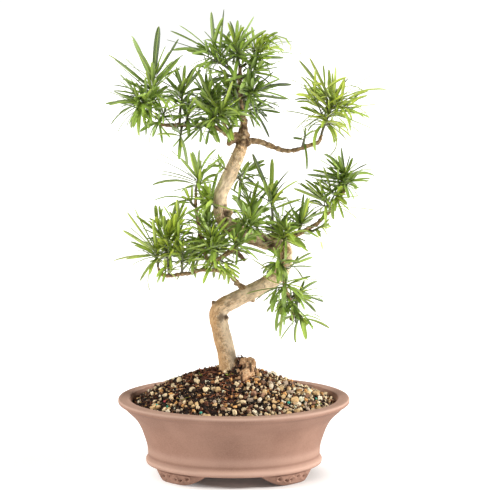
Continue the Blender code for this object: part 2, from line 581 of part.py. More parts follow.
def soil_height(x, y, radius):
    """Mound: a dome over the oval, a heap against the surface root and rough lumps as crossed
    waves."""
    heap_x, heap_y, heap_height, heap_reach = ROOT_HEAP
    away = ((x - heap_x) ** 2 + (y - heap_y) ** 2) / heap_reach ** 2
    dome = SOIL_RISE * (1.0 - radius ** 2) ** SOIL_SHOULDER + heap_height * np.exp(-away)
    lumps = (np.sin(0.61 * x + 0.35 * y) * np.sin(0.52 * y - 0.23 * x + 1.3)
             + 0.6 * np.sin(1.07 * x - 0.8 * y + 0.6) * np.sin(0.93 * y + 0.41 * x))
    return SOIL_EDGE_Z + dome + SOIL_GRIT * lumps * np.minimum(1.0, 4.0 * (1.0 - radius))


def build_soil(collection, wood_holes, material):
    """Soil: sides follow the pot's inner wall, the top is a rough mound."""
    inner = POT_PROFILE[POT_PROFILE.index(INNER_LIP):]
    offsets, heights = zip(*reversed(inner))
    bottom_z = FLOOR_Z + 2 * FIT_GAP + SCREEN_THICKNESS
    levels = [bottom_z] + [z for z in heights if bottom_z < z < SOIL_EDGE_Z] + [SOIL_EDGE_Z]
    rings = [oval_ring(np.interp(z, heights, offsets) - SOIL_INSET, z) for z in levels]
    edge_offset = np.interp(SOIL_EDGE_Z, heights, offsets) - SOIL_INSET
    for ring in range(1, SOIL_RINGS):
        radius = 1.0 - ring / SOIL_RINGS
        flat = oval_ring(edge_offset, 0.0)
        centre = np.array([*SOIL_TOP_CENTRE, 0.0])
        points = centre + (flat - centre) * radius
        points[:, 2] = soil_height(points[:, 0], points[:, 1], radius)
        rings.append(points)
    top = (*SOIL_TOP_CENTRE, SOIL_EDGE_Z + SOIL_RISE)
    soil = loft("soil", rings, (POT_X, 0, bottom_z), top, collection)
    for hole in wood_holes:
        apply_boolean(soil, "DIFFERENCE", "EXACT", other=hole)
        bpy.data.objects.remove(hole, do_unlink=True)
    return finish(soil, material)


def stem_rows(shoot, wood=None):
    """Green stem: from the wood's surface through its foot to its bud. The start is moved back
    along the way to the joint until the rim of its end is one gap short of the wood."""
    joint, foot, bud = (np.asarray(p, float) for p in (shoot.joint, shoot.foot, shoot.bud))
    inward = unit(joint - foot)
    reach = np.linalg.norm(joint - foot)
    if wood is not None:
        across = unit(np.cross(inward, SIDEWAYS))
        third = np.cross(inward, across)
        radius = STEM_DIAMETER / 2.0 + RIM_MARGIN
        turns = np.linspace(0.0, 2.0 * math.pi, 8, endpoint=False)
        rim = [radius * (math.cos(angle) * across + math.sin(angle) * third) for angle in turns]
        for offset in [np.zeros(3)] + rim:
            distance = wood.ray_cast(foot + offset, inward)[3]
            if distance is not None:
                reach = min(reach, distance - FIT_GAP)
    start = foot + reach * inward
    point = bud + unit(bud - foot) * BUD_LENGTH
    return [(*start, STEM_DIAMETER), (*foot, STEM_DIAMETER), (*bud, BUD_DIAMETER),
            (*point, BUD_POINT_DIAMETER)]


def knot_solid(x, y, z, size, collection):
    mesh = bpy.data.meshes.new("knot")
    shape = bmesh.new()
    bmesh.ops.create_icosphere(shape, subdivisions=1, radius=size / 2 * MM)
    bmesh.ops.translate(shape, verts=shape.verts, vec=(x * MM, y * MM, z * MM))
    shape.to_mesh(mesh)
    shape.free()
    obj = bpy.data.objects.new("knot", mesh)
    collection.objects.link(obj)
    return obj


def build_trunk(collection, cutters, material):
    """All the wood as one piece: trunk, branches, knots and the root that shows."""
    trunk = tube("trunk", smooth_rows(TRUNK, WOOD_STEP), TRUNK_SIDES, collection)
    parts = []
    for name, rows in BRANCHES.items():
        sides = 8 if rows[0][3] > THICK_BRANCH else 6
        parts.append(tube(name, smooth_rows(rows, WOOD_STEP), sides, cutters))
    for knot in KNOTS:
        parts.append(knot_solid(*knot, cutters))
    join_all(trunk, parts)
    return finish(trunk, material)


def wood_hole_cutters(cutters):
    """The wood's own paths, a fit gap larger and longer, to open plain holes in the soil."""
    holes = []
    for name, rows, sides, low_end in (("trunk_hole", TRUNK[:7], TRUNK_SIDES, 0),
                                       ("root_hole", BRANCHES["surface_root"], 8, -1),
                                       ("strand_hole", BRANCHES["root_strand"], 6, -1)):
        wide = smooth_rows(rows, WOOD_STEP)
        wide[:, 3] += HOLE_ALLOWANCE
        wide[low_end, 2] -= 2 * FIT_GAP
        hole = tube(name, wide, sides, cutters)
        hole.hide_render = True
        hole.display_type = "WIRE"
        holes.append(hole)
    return holes


def wood_surface(trunk):
    """The wood's triangles in millimetres, for measuring up to them."""
    points = np.array([vertex.co for vertex in trunk.data.vertices]) / MM
    return BVHTree.FromPolygons(points.tolist(), [tuple(face.vertices) for face in trunk.data.polygons])


def unit(vector):
    return vector / np.linalg.norm(vector)


def leaf_frame(base, tip, bend):
    """Start direction, bending direction and length of a circular arc from base to tip."""
    chord = tip - base
    along = unit(chord)
    pull = np.array([0.3 * along[0], 0.3 * along[1] - 0.02, -1.0])
    down = unit(pull - (pull @ along) * along)
    half = math.radians(bend) / 2.0
    start = math.cos(half) * along - math.sin(half) * down
    turn = math.sin(half) * along + math.cos(half) * down
    stretch = half / math.sin(half) if abs(half) > 0.01 else 1.0
    return start, turn, np.linalg.norm(chord) * stretch


def leaf_spine(leaf, t):
    """Points and directions at shares t of the length of a circular arc."""
    angle = math.radians(leaf.bend) if abs(leaf.bend) > 1.0 else math.radians(1.0)
    a = (angle * np.asarray(t, float))[:, None]
    points = leaf.base + leaf.length / angle * (np.sin(a) * leaf.start + (1.0 - np.cos(a)) * leaf.turn)
    along = np.cos(a) * leaf.start + np.sin(a) * leaf.turn
    under = -np.sin(a) * leaf.start + np.cos(a) * leaf.turn
    return points, along, under


def leaf_mesh(leaf, grow=0.0, first=0.0):
    """A blade of triangular section with its midrib raised, from a narrow root to a sharp tip. It
    can be grown on all sides and started at a later share of its length, to measure clearances."""
    inner = LEAF_BENT_STATIONS if abs(leaf.bend) > LEAF_STRONG_BEND else LEAF_STATIONS
    t = np.array([first, *inner, 1.0])
    shares, widths = zip((0.0, LEAF_ROOT_WIDTH / leaf.width), *LEAF_OUTLINE)
    shape = np.interp(t, shares, widths)
    points, along, under = leaf_spine(leaf, t)
    flat = np.cross(leaf.start, leaf.turn)
    side = math.cos(leaf.roll) * flat[None, :] + math.sin(leaf.roll) * under
    up = np.cross(side, along)
    half = (shape * leaf.width / 2.0 + grow)[:, None]
    rib = (LEAF_RIB * np.interp(t, [0.5, 1.0], [1.0, LEAF_TIP_RIB]) + grow)[:, None]
    drop = LEAF_EDGE_DROP * LEAF_RIB
    left = points - side * half - up * (drop + grow)
    right = points + side * half - up * (drop + grow)
    top = points + up * (rib - drop)
    count = len(t) - 1
    vertices = np.vstack([np.stack([left, right, top], axis=1)[:count].reshape(-1, 3), points[-1:]])
    faces = [(0, 1, 2)]
    for s in range(count - 1):
        for k in range(3):
            a, b = 3 * s + k, 3 * s + (k + 1) % 3
            faces += [(a, b + 3, b), (a, a + 3, b + 3)]
    last = 3 * (count - 1)
    faces += [(last + k, 3 * count, last + (k + 1) % 3) for k in range(3)]
    return vertices, faces


def leaf_tree(leaf, grow=0.0, first=0.0):
    """Search tree over a blade's faces."""
    vertices, faces = leaf_mesh(leaf, grow, first)
    return BVHTree.FromPolygons(vertices.tolist(), faces)


class Clearance:
    """Keeps leaves clear of the wood, of other shoots and, past their roots, of each other."""

    def __init__(self):
        wood = [smooth_rows(rows, ROD_STEP) for rows in (TRUNK, *BRANCHES.values())]
        self.rods = [(None, np.vstack(wood))]
        self.rods += [(shoot.name, smooth_rows(stem_rows(shoot), ROD_STEP)) for shoot in SHOOTS]
        self.leaves = []

    def free(self, shoot, leaf):
        """Whether the leaf stands clear of all that is there already."""
        points = leaf_spine(leaf, np.linspace(*CHECKED_SHARES, 9))[0]
        if points[:, 2].min() < LOWEST_LEAF_Z:
            return False
        for owner, rod in self.rods:
            gap = np.linalg.norm(points[:, None, :] - rod[None, :, :3], axis=2) - rod[None, :, 3] / 2
            if owner != shoot.name and gap.min() < leaf.width / 2 + ROD_CLEARANCE:
                return False
        vertices, faces = leaf_mesh(leaf, LEAF_CLEARANCE)
        low, high = vertices.min(axis=0), vertices.max(axis=0)
        near = [other for other in self.leaves if np.all(low <= other[2]) and np.all(high >= other[1])]
        whole = leaf_tree(leaf, LEAF_CLEARANCE)
        outer = leaf_tree(leaf, SAME_STEM_CLEARANCE, ROOT_SHARE)
        for owner, _, _, other_whole, other_outer in near:
            if outer.overlap(other_outer) if owner == shoot.name else whole.overlap(other_whole):
                return False
        return True

    def add(self, shoot, leaf):
        vertices, faces = leaf_mesh(leaf)
        self.leaves.append((shoot.name, vertices.min(axis=0), vertices.max(axis=0), leaf_tree(leaf),
                            leaf_tree(leaf, SAME_STEM_CLEARANCE, ROOT_SHARE)))


def tipped_leaves(shoot, clearance, rng):
    """The leaves with a chosen tip: each starts where its direction suits the stem."""
    foot, bud = np.asarray(shoot.foot, float), np.asarray(shoot.bud, float)
    axis = unit(bud - foot)
    leaves = []
    ordered = sorted(shoot.tips, key=lambda tip: (np.array(tip[:3]) - foot) @ axis)
    for rank, (*place, bend, youth) in enumerate(ordered):
        share = np.interp((rank + 0.5) / len(ordered), [0.0, 1.0], TIPPED_SHARES)
        for attempt in range(LEAF_TRIES):
            shift = rng.uniform(-1.0, 1.0, 4) * min(1.0, attempt / 5.0)
            tip = np.array(place) + np.array(TIP_SHIFT) * shift[:3]
            base = foot + (bud - foot) * share
            outward = (tip - base) - ((tip - base) @ axis) * axis
            base = base + ROOT_OFFSET * unit(outward)
            bent = bend + BEND_SHIFT * shift[3]
            start, turn, reach = leaf_frame(base, tip, bent)
            leaf = Leaf(base, start, turn, reach, bent, ROLL_SHIFT * shift[1],
                        LEAF_WIDTH - LEAF_NARROWING * youth)
            if clearance.free(shoot, leaf):
                clearance.add(shoot, leaf)
                leaves.append(leaf)
                break
    return leaves


def spiral_leaf(shoot, share, azimuth, attempt, wobble):
    """One leaf of the spiral: wide open at the foot, closing round the bud, longest in between."""
    foot, bud = np.asarray(shoot.foot, float), np.asarray(shoot.bud, float)
    axis = unit(bud - foot)
    across = unit(np.cross(axis, SIDEWAYS))
    third = np.cross(axis, across)
    spread = 0.12 + 0.1 * attempt
    azimuth += 2.0 * spread * wobble[0]
    opening = math.radians(OPENING_AT_FOOT - OPENING_FALL * share ** 1.4
                           + 9.0 * wobble[1] * (1.0 + spread))
    start = (math.cos(opening) * axis
             + math.sin(opening) * (math.cos(azimuth) * across + math.sin(azimuth) * third))
    down = np.array([0.25 * start[0], 0.25 * start[1] - 0.02, -1.0])
    turn = unit(down - (down @ start) * start)
    bend = (34.0 - 18.0 * share + 8.0 * shoot.youth) * (1.0 + 0.5 * wobble[2])
    reach = shoot.length * (0.74 + 0.3 * math.sin(math.pi * (0.15 + 0.75 * share)))
    reach *= (1.0 + 0.1 * wobble[3]) * (1.0 - 0.25 * attempt / LEAF_TRIES)
    base = foot + (bud - foot) * np.interp(share, [0.0, 1.0], SPIRAL_SHARES)
    width = LEAF_WIDTH - LEAF_NARROWING * shoot.youth
    return Leaf(base, unit(start), turn, reach, bend, 0.35 * wobble[4], width)


def spiral_leaves(shoot, missing, clearance, rng):
    """The other leaves, in a golden-angle spiral up the stem."""
    leaves = []
    turn_start = rng.uniform(0.0, 2.0 * math.pi)
    for k in range(missing):
        for attempt in range(LEAF_TRIES):
            wobble = rng.uniform(-1.0, 1.0, 5)
            leaf = spiral_leaf(shoot, (k + 0.6) / missing, turn_start + GOLDEN_ANGLE * k, attempt,
                               wobble)
            if clearance.free(shoot, leaf):
                clearance.add(shoot, leaf)
                leaves.append(leaf)
                break
    return leaves


def grow_leaves():
    """All leaves of all shoots: first those with chosen tips, then the spirals."""
    clearance = Clearance()
    grown = {}
    for k, shoot in enumerate(SHOOTS):
        grown[shoot.name] = tipped_leaves(shoot, clearance, np.random.default_rng(100 + k))
    for k, shoot in enumerate(SHOOTS):
        missing = max(0, shoot.count - len(grown[shoot.name]))
        grown[shoot.name] += spiral_leaves(shoot, missing, clearance, np.random.default_rng(200 + k))
    return grown


def build_shoot(shoot, leaves, wood, collection, cutters, material):
    """One green stem with its leaves, joined in one piece."""
    stem = tube("shoot_" + shoot.name, stem_rows(shoot, wood), 4, collection)
    blades = [mesh_object("blade", *leaf_mesh(leaf), cutters) for leaf in leaves]
    join_all(stem, blades, SHOOT_SOLVER)
    return finish(stem, material)


def main():
    clear_scene()
    bonsai = make_collection("buddhist_pine_bonsai")
    cutters = make_collection("cutters_and_guides")
    clay = make_material("unglazed_clay", (0.44, 0.26, 0.20), 0.85)
    earth = make_material("potting_soil", (0.045, 0.03, 0.022), 0.95)
    plastic = make_material("black_screen_plastic", (0.03, 0.03, 0.03), 0.5)
    bark = make_material("podocarpus_bark", (0.5, 0.34, 0.2), 0.8)
    greens = [
        make_material("old_leaf", (0.06, 0.17, 0.04), 0.4),
        make_material("mid_leaf", (0.11, 0.26, 0.06), 0.4),
        make_material("fresh_leaf", (0.2, 0.38, 0.07), 0.42),
        make_material("new_leaf", (0.36, 0.52, 0.08), 0.45),
    ]
    build_pot(bonsai, cutters, clay)
    build_screen("drain_screen_left", -0.5, bonsai, cutters, plastic)
    build_screen("drain_screen_right", 0.5, bonsai, cutters, plastic)
    trunk = build_trunk(bonsai, cutters, bark)
    build_soil(bonsai, wood_hole_cutters(cutters), earth)
    grown = grow_leaves()
    wood = wood_surface(trunk)
    for shoot in SHOOTS:
        build_shoot(shoot, grown[shoot.name], wood, bonsai, cutters, greens[shoot.youth])


main()
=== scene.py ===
"""Looks of a Buddhist pine bonsai in an oval clay pot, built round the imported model.

Run as a script, never installed. Lists of points are in millimetres, meshes in metres, +Z up, +X to
the right, and the origin is under the middle of the plant. Every shape is a grid of points worked out
with numpy from a formula that its docstring gives in words.
"""

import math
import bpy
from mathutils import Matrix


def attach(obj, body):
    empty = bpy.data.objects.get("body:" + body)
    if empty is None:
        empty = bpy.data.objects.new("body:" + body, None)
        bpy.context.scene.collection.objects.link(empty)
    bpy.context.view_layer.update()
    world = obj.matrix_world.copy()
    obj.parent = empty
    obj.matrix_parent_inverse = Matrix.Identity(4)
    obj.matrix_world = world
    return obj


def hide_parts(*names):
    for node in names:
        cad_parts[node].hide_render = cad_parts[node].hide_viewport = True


bl_info = {
    "name": "Buddhist pine bonsai",
    "version": (1, 0, 0),
    "blender": (4, 5, 0),
    "location": "View3D > Sidebar > Bonsai",
    "description": "A Buddhist pine bonsai with its bark, leaves and potting mix in an oval clay pot",
    "category": "Add Mesh",
}

from collections import namedtuple

import bpy
import numpy as np
from mathutils import Vector
from mathutils.bvhtree import BVHTree

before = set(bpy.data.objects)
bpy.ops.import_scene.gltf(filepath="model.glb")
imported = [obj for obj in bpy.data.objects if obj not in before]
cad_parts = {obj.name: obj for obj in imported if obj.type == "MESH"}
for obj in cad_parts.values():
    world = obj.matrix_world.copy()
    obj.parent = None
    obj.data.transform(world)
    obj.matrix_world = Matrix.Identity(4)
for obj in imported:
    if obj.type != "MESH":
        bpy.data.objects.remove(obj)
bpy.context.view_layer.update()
MM = 0.001

# Pot: oval of the lip, heights, and the profile as distance outside the lip's oval and height
POT_X = -15.0
POT_HALF_LENGTH = 127.0
POT_HALF_DEPTH = 96.5
UNDERSIDE_Z = 14.0
FLOOR_Z = 22.0
INNER_LIP = (-14.6, 83.2)
POT_PROFILE = [
    (-33.4, UNDERSIDE_Z), (-30.4, 15.4), (-30.0, 19.6), (-32.1, 23.0), (-31.4, 34.0),
    (-28.2, 45.5), (-24.2, 56.0), (-18.6, 65.4), (-9.6, 74.6), (-5.0, 79.2), (-2.2, 81.2),
    (-0.4, 82.6), (-0.1, 84.8), (-0.6, 86.8), (-2.8, 87.7), (-11.8, 87.2), INNER_LIP, (-24.0, 68.0),
    (-35.0, 50.0), (-41.0, 28.0), (-44.0, FLOOR_Z),
]
POT_SEGMENTS = 264
POT_STEP = 1.3
POT_CAP_SHARES = (0.12, 0.97, 9)
# Painted shade in the pot's creases: height, reach and share
POT_CREASE_SHADES = [(24.6, 0.9, 0.7), (13.6, 0.8, 0.7), (80.6, 1.1, 0.5)]
FOOT_ANGLES = (21.0, 70.0)
FOOT_OUTER_OFFSET = -35.0
FOOT_WIDTH = 13.0
FOOT_SINK = 2.0
FOOT_FLAT_SHARES = (0.55, 0.18)
FOOT_CURL_POWERS = (1.25, 1.8)
FOOT_LEAN = 3.0
FOOT_END_RISE = 12.0
FOOT_END_TAPER = 0.35
FOOT_BULGE = 1.5
FOOT_STATIONS = 100
FOOT_RADIUS = 72.0
FOOT_SIDES = 88
FOOT_ROUNDING = 0.42

# Scrolls on a foot: place along it, height, radius, direction of the open side and hole size
FOOT_SCROLLS = [
    (-13.0, 8.3, 4.2, 0.4, 1.4), (2.6, 7.0, 3.6, 3.6, 1.0), (8.6, 7.4, 2.2, 1.2, 0.9),
    (15.0, 9.2, 3.4, 3.0, 1.5), (-4.5, 9.6, 2.8, 5.0, 0.8),
]
DRAIN_HOLE_DIAMETER = 18.0
DRAIN_HOLE_SPACING = 74.0
DRILL_SIDES = 48
DRILL_REACH = 4.0

# Soil mound: edge height, rise, highest place and the heap against the surface root
SOIL_EDGE_Z = 82.0
SOIL_RISE = 37.0
SOIL_SHOULDER = 1.15
SOIL_GRIT = 1.5
SOIL_INSET = 0.42
SOIL_EDGE_OFFSET = np.interp(SOIL_EDGE_Z, (68.0, 83.2), (-24.0, -14.6)) - SOIL_INSET
SOIL_BOTTOM_Z = 24.0
SOIL_RING_COUNT = 110
SOIL_SIDE_RINGS = 20
SOIL_TOP_CENTRE = (-18.0, 4.0)
SOIL_SUNK = 1.6
ROOT_HEAP = (-5.0, -6.0, 9.0, 11.0)

# Colours of the mix's grains and how often each comes
PALE_GRAINS = ("#EBD3AA", "#DAB886", "#E0A768", "#BBA58F", "#A17B62", "#F6E7CA", "#7C5C46")
PALE_SHARES = (8, 7, 4, 2, 1, 3, 1)
DARK_CHIPS = ("#1C1310", "#36231A", "#63392A", "#86573F", "#2A1B14")
DARK_SHARES = (5, 5, 3, 2, 4)
SHREDS = ("#84492F", "#A2623F", "#603524", "#C08A60")
SHRED_SHARES = (4, 3, 4, 1)

# Teal fertiliser prills, a red speck and tiny sprouts on the soil, as x and y
PRILLS = [(-49, -69), (44, -49), (-97, -41), (-85, -49), (62, -40), (74, -22), (-40, 34), (30, 48)]
RED_SPECK = (-89, -40)
SPROUTS = [(-70, -47, 9.0), (-49, -9, 7.0), (-20, -17, 5.0), (75, -34, 6.0)]

# Knots, burls and nubs on the bends: place and size. Scars and stains: place, reach, how far they
# push the bark out, and how dark they are
BURLS = [
    (-24, -9, 177, 7.5), (-36, -8, 192, 6.5), (-17, -1, 369, 9), (-22, -12, 285, 10), (34, 2, 228, 9),
    (40, 12, 246, 11), (-11, -10, 265, 11), (4, -2, 198, 8), (-37, -8, 194, 4), (6, -4, 196, 4.5),
    (-9, -12, 272, 7), (-4, -11, 268, 6), (29, -4, 261, 6), (32, -4, 252, 6), (-13, -6, 214, 4),
    (-6, 0, 352, 6), (48, -15, 178, 5), (-31, -7, 298, 12), (-20, -8, 292, 9), (-21, -9, 284, 8),
    (3, -15, 114, 10), (-3, -16, 118, 11), (4, -12, 120, 9), (-8, -14, 118, 8), (-4, -22, 110, 10),
    (1, -20, 108, 9), (-9, -22, 108, 8),
    (-14, -3, 372, 8), (-19, -4, 366, 7), (0, 1, 366, 8), (-2, 3, 374, 9), (-8, -2, 362, 10),
]
SCARS = [
    (-28, -15, 178, 4.6, -0.7, 0.8), (-23, -13, 179, 3.0, 0.6, 0.95), (-21, -14, 193, 3.0, 0.5, 0.55),
    (-37, -11, 195, 3.0, 0.6, 0.75), (-14, -12, 201, 5.0, 0.2, 0.4), (6, -4, 194, 2.6, 0.6, 0.35),
    (-33, -13, 158, 4.5, 0.1, 0.3), (-27, -12, 143, 4.0, 0.1, 0.25), (20, -8, 262, 4.5, -2.6, 1.0),
    (26, -7, 256, 5.0, -2.2, 1.0),
    (32, -6, 249, 4.0, -1.2, 0.9), (30, -7, 258, 3.0, 1.1, 0.1),
    (-19, -13, 182, 1.9, -1.4, 0.95), (-22, -14, 174, 1.8, -1.3, 0.9), (-25, -14, 181, 2.4, 1.0, 0.25),
    (-21, -14, 193, 1.3, -0.9, 0.8), (-12, -13, 198, 1.5, -0.8, 0.6), (-36, -13, 148, 1.5, -0.6, 0.5),
    (-23, -14, 299, 3.0, -1.4, 0.9),
    (-23, -14, 292, 3.6, -2.6, 0.95), (-24, -15, 285, 3.4, -2.0, 0.95), (-13, -8, 135, 6.0, -0.3, 0.6),
    (-20, -12, 322, 3.0, 0.3, 0.35), (-12, -8, 338, 2.6, 0.4, 0.3), (-15, -8, 352, 2.6, 0.2, 0.8),
    (-8, -8, 349, 3.0, 0.3, 0.5), (5, -6, 205, 3.5, 0.3, 0.35), (-31, -12, 170, 2.5, 0.5, 0.4),
    (14, 4, 216, 4.0, -0.4, 0.4), (-14, 9, 300, 3.5, -0.5, 0.5), (-10, -6, 374, 4.5, -1.0, 0.85),
    (-19, -12, 371, 5.0, -0.6, 0.7),
    (-17, -6, 366, 4.0, -0.6, 0.6), (-27, -11, 308, 2.4, 0.2, 0.45),
]
COLLAR_SHARE = 0.55
COLLAR_REACH = 13.0

# A leaf's width at shares of its length, after its root
STRAP_SHARES = (0.0, 0.09, 0.24, 0.45, 0.68, 0.85, 0.95)
STRAP_WIDTHS = (0.5, 0.84, 1.0, 1.0, 0.87, 0.54)

# How far a blade turns to the front, as a share, the most in radians, and x and z of the tips whose
# blades turn all the way
FACING = (-0.4, 0.9)
MOST_TWIST = 1.35
PLAIN_REACH = 5.0
PLAIN_TIPS = [(-92, 490), (-122, 480), (-40, 505), (5, 355), (29, 348), (64, 456), (-22, 508), (-70, 476)]

# Share of extra leaves on a shoot, where it isn't 1
EXTRA_SHARES = {
    "left_under": 0.1, "apex_left": 0.3, "apex_low_left": 0.0, "middle_top": 0.3, "middle_small": 0.0,
    "droop_side": 0.0, "droop_low": 0.3, "droop_tip": 0.1, "droop_mid": 0.4, "far_right_low": 0.4,
    "leader_low_right": 0.1, "shelf_back": 0.5, "shelf_upright": 0.3, "right_small": 0.0, "bend_tip": 0.1,
    "bend_right": 0.4, "neck_right": 0.4, "low_left_end": 0.2, "leader_right": 0.7, "middle_right": 0.4,
    "low_left_inner": 0.1, "left_top": 0.8, "shelf_front": 0.6, "middle_up": 0.7, "middle_left": 0.8,
    "middle_front": 0.1, "apex_low_right": 0.3, "left_mid": 0.6, "far_right_top": 0.85, "bend_front": 0.6,
    "apex_right": 0.8, "apex_centre": 0.75, "right_top": 0.8, "droop_top": 0.6,
}

# Shoots whose leaves are narrow in the photograph, and shoots whose leaves hang
THIN_SHOOTS = ("bend_tip", "droop_side", "middle_top", "right_small", "middle_small", "apex_low_left",
               "leader_low_right")
HANGING_SHOOTS = ("droop_low", "droop_tip", "droop_mid", "droop_top")

# Width shares of leaves whose tips stand out: x and z of the tip, share
TIP_WIDTHS = [
    (-92, 490, 1.6), (-122, 480, 1.3), (-133, 484, 0.6), (-147, 463, 0.8), (-40, 505, 1.3),
    (-22, 508, 0.45), (-72, 491, 1.1), (-86, 476, 0.8), (-92, 471, 0.9), (-27, 491, 0.8), (-70, 476, 0.7),
    (5, 355, 1.3), (29, 348, 1.3), (57, 456, 1.1), (62, 159, 1.4),
    (33, 157, 1.3), (93, 222, 0.8), (83, 200, 0.8),
]

# How deep the green of a shoot is, as painted light and shade: the power on its leaves' tones, under
# 1 for shoots painted lighter and over 1 for shoots painted darker, the power of other shoots under a
# height or past a distance to the side, which are painted lighter, and the youth added under a depth,
# which paints those shoots a lighter yellow-green
PAINTED_SHADING_DEPTHS = {
    "low_left_up": 0.15, "low_left_inner": 0.15, "middle_left": 0.15, "middle_low": 0.2,
    "apex_centre": 0.5, "leader_left": 0.5, "right_top": 0.15, "bend_front": 0.2, "bend_right": 0.3,
    "shelf_upright": 0.25,
    "neck_left": 0.25, "far_right_low": 0.25, "far_right_top": 0.3, "left_inner": 0.6, "inner_front": 0.6,
    "apex_right": 0.6, "low_left_end": 0.25, "leader_right": 3.0, "leader_low_right": 4.0,
    "leader_back": 4.0, "droop_low": 1.6, "droop_tip": 0.4, "droop_mid": 0.9, "droop_top": 0.7,
    "apex_low_right": 1.4,
}
PAINTED_LIGHT_DEPTH = 0.4
LIGHT_UNDER_Z = 330.0
LIGHT_PAST_X = 60.0
PAINTED_YOUTH_BELOW_DEPTH = 0.28
PAINTED_LIGHT_YOUTH = 0.9

# Depth of green of leaves whose tips stand out: x and z of the tip and its tone, and how near one is
TIP_REACH = 4.0
TIP_TONES = [(-92, 490, 0.15), (-124, 480, 0.16), (-40, 505, 0.65), (5, 355, 0.3), (-70, 476, 0.14)]

# Added shoots, each fused to a neighbour's object: foot on the wood, bud, leaves, length, youth
FILLING = {
    "left_mid": [
        ((-61, -13, 387), (-66, -22, 402), 12, 30, 0), ((-46, -10, 385), (-54, -24, 382), 10, 24, 0),
        ((-66, -13, 388), (-59, -24, 404), 12, 26, 0),
    ],
    "left_inner": [
        ((-38, -9, 386), (-36, -22, 397), 11, 30, 0), ((-40, -9, 385), (-41, -22, 378), 6, 18, 0),
    ],
    "left_low": [
        ((-92, -17, 392), (-94, -30, 388), 10, 26, 1), ((-106, -19, 398), (-106, -31, 417), 12, 34, 0),
        ((-92, -17, 392), (-86, -26, 402), 10, 26, 0),
    ],
    "inner_front": [
        ((-22, -5, 377), (-17, -18, 386), 9, 26, 1),
    ],
    "leader_left": [
        ((-6, 0, 399), (-17, -13, 396), 12, 26, 0),
    ],
    "low_left_up": [
        ((-84, -20, 226), (-84, -30, 266), 12, 32, 1), ((-85, -17, 240), (-89, -24, 276), 14, 30, 0),
        ((-85, -14, 256), (-75, -22, 280), 16, 32, 0), ((-85, -12, 266), (-72, -20, 288), 12, 28, 0),
        ((-85, -17, 242), (-98, -14, 284), 14, 30, 0),
    ],
    "low_left_inner": [
        ((-70, -19, 228), (-74, -22, 268), 12, 32, 0),
    ],
    "low_left_end": [
        ((-90, -21, 232), (-86, -33, 232), 7, 20, 1),
    ],
    "neck_left": [
        ((-23, -6, 338), (-30, -20, 345), 9, 22, 1),
    ],
    "droop_mid": [
        ((43, -15, 204), (37, -27, 193), 9, 28, 1),
    ],
    "droop_low": [
        ((45, -15, 199), (49, -28, 194), 12, 20, 0),
    ],
    "neck_right": [
        ((-10, 4, 328), (-4, -8, 322), 9, 24, 1),
    ],
    "right_top": [
        ((90, 9, 402), (108, -3, 414), 10, 30, 3), ((92, 9, 404), (112, 2, 404), 10, 30, 2),
        ((84, 10, 388), (70, 1, 418), 14, 36, 2), ((87, 10, 396), (82, -2, 428), 14, 34, 2),
    ],
    "middle_front": [
        ((-34, -19, 241), (-24, -28, 234), 8, 22, 1), ((-30, -18, 243), (-17, -27, 234), 9, 22, 1),
    ],
    "apex_left": [
        ((-20, -2, 446), (-24, -14, 459), 9, 22, 0), ((-24, -3, 448), (-46, -12, 460), 12, 26, 0),
    ],
    "left_top": [
        ((-105, -19, 404), (-117, -27, 420), 11, 30, 0),
    ],
    "shelf_front": [
        ((3, -11, 272), (-6, -20, 282), 9, 24, 0),
    ],
    "far_right_top": [
        ((102, 14, 309), (98, 4, 326), 12, 28, 0),
    ],
    "far_right_low": [
        ((99, 13, 304), (88, 2, 318), 15, 28, 0), ((97, 13, 300), (96, -2, 312), 12, 26, 0),
    ],
}

# Leaves drawn one by one, each fused to a shoot: root, tip, bend in degrees, width, youth
DRAWN_LEAVES = {
    "apex_right": [
        ((15, 4, 462), (37, 0, 469), 205, 2.6, 3.0), ((17, 5, 464), (46, -6, 462), 190, 2.2, 3.0),
        ((14, 0, 463), (29, -8, 470), 170, 3.0, 3.0), ((16, 2, 466), (24, -10, 480), 150, 2.8, 2.6),
        ((12, 4, 458), (40, -12, 474), 60, 2.0, 2.4), ((18, 6, 466), (62, -8, 463), -50, 1.9, 2.2),
        ((17, 4, 462), (48, -10, 474), 35, 2.0, 2.0), ((14, 2, 460), (24, -14, 462), 185, 2.6, 3.0),
        ((13, 3, 464), (34, -13, 462), 150, 2.4, 3.0), ((10, -2, 460), (16, -16, 478), 130, 2.8, 2.6),
    ],
    "left_low": [
        ((-112, -27, 410), (-113, -37, 379), 55, 4.2, 3.0),
        ((-111, -27, 408), (-104, -38, 383), 60, 3.8, 3.0),
        ((-113, -27, 409), (-119, -36, 385), 50, 3.6, 2.6),
        ((-110, -26, 407), (-96, -37, 392), 40, 3.6, 2.8),
        ((-112, -27, 411), (-107, -38, 389), 75, 3.4, 3.0),
    ],
    "droop_tip": [
        ((41, -18, 200), (34, -28, 159), 14, 5.4, 1.2), ((38, -18, 198), (31, -26, 165), 46, 3.4, 0.6),
        ((56, -18, 182), (62, -27, 156), 10, 6.4, 1.4), ((57, -17, 184), (71, -26, 167), 30, 5.4, 0.8),
        ((34, -18, 205), (25, -27, 186), 40, 4.2, 1.6),
    ],
}

# Extra leaves: heights between which none covers the trunk, with how near it, then their shares of
# length and width, the width of the model's own leaves, tufts, buds, stems and sprouts
BARE_TRUNK = (296.0, 384.0, 10.0)
BARE_TRUNK_MARGIN = 25.0
EXTRA_LENGTHS = (0.72, 1.12)
EXTRA_WIDTHS = (0.46, 0.84)
EXTRA_ROOT_SHARE = 0.3
EXTRA_CHECKED = (EXTRA_ROOT_SHARE, 1.0, 8)
CORE_WIDTH = 0.76
THIN_WIDTH = 0.8
SIDE_TUFTS = 3
TUFT_LEAVES = 10
BUD_LEAVES = 3
SIDE_TURN = 2.4
STEM_STEP = 2.5
STEM_SIDES = 8
SPROUT_LEAVES = 4

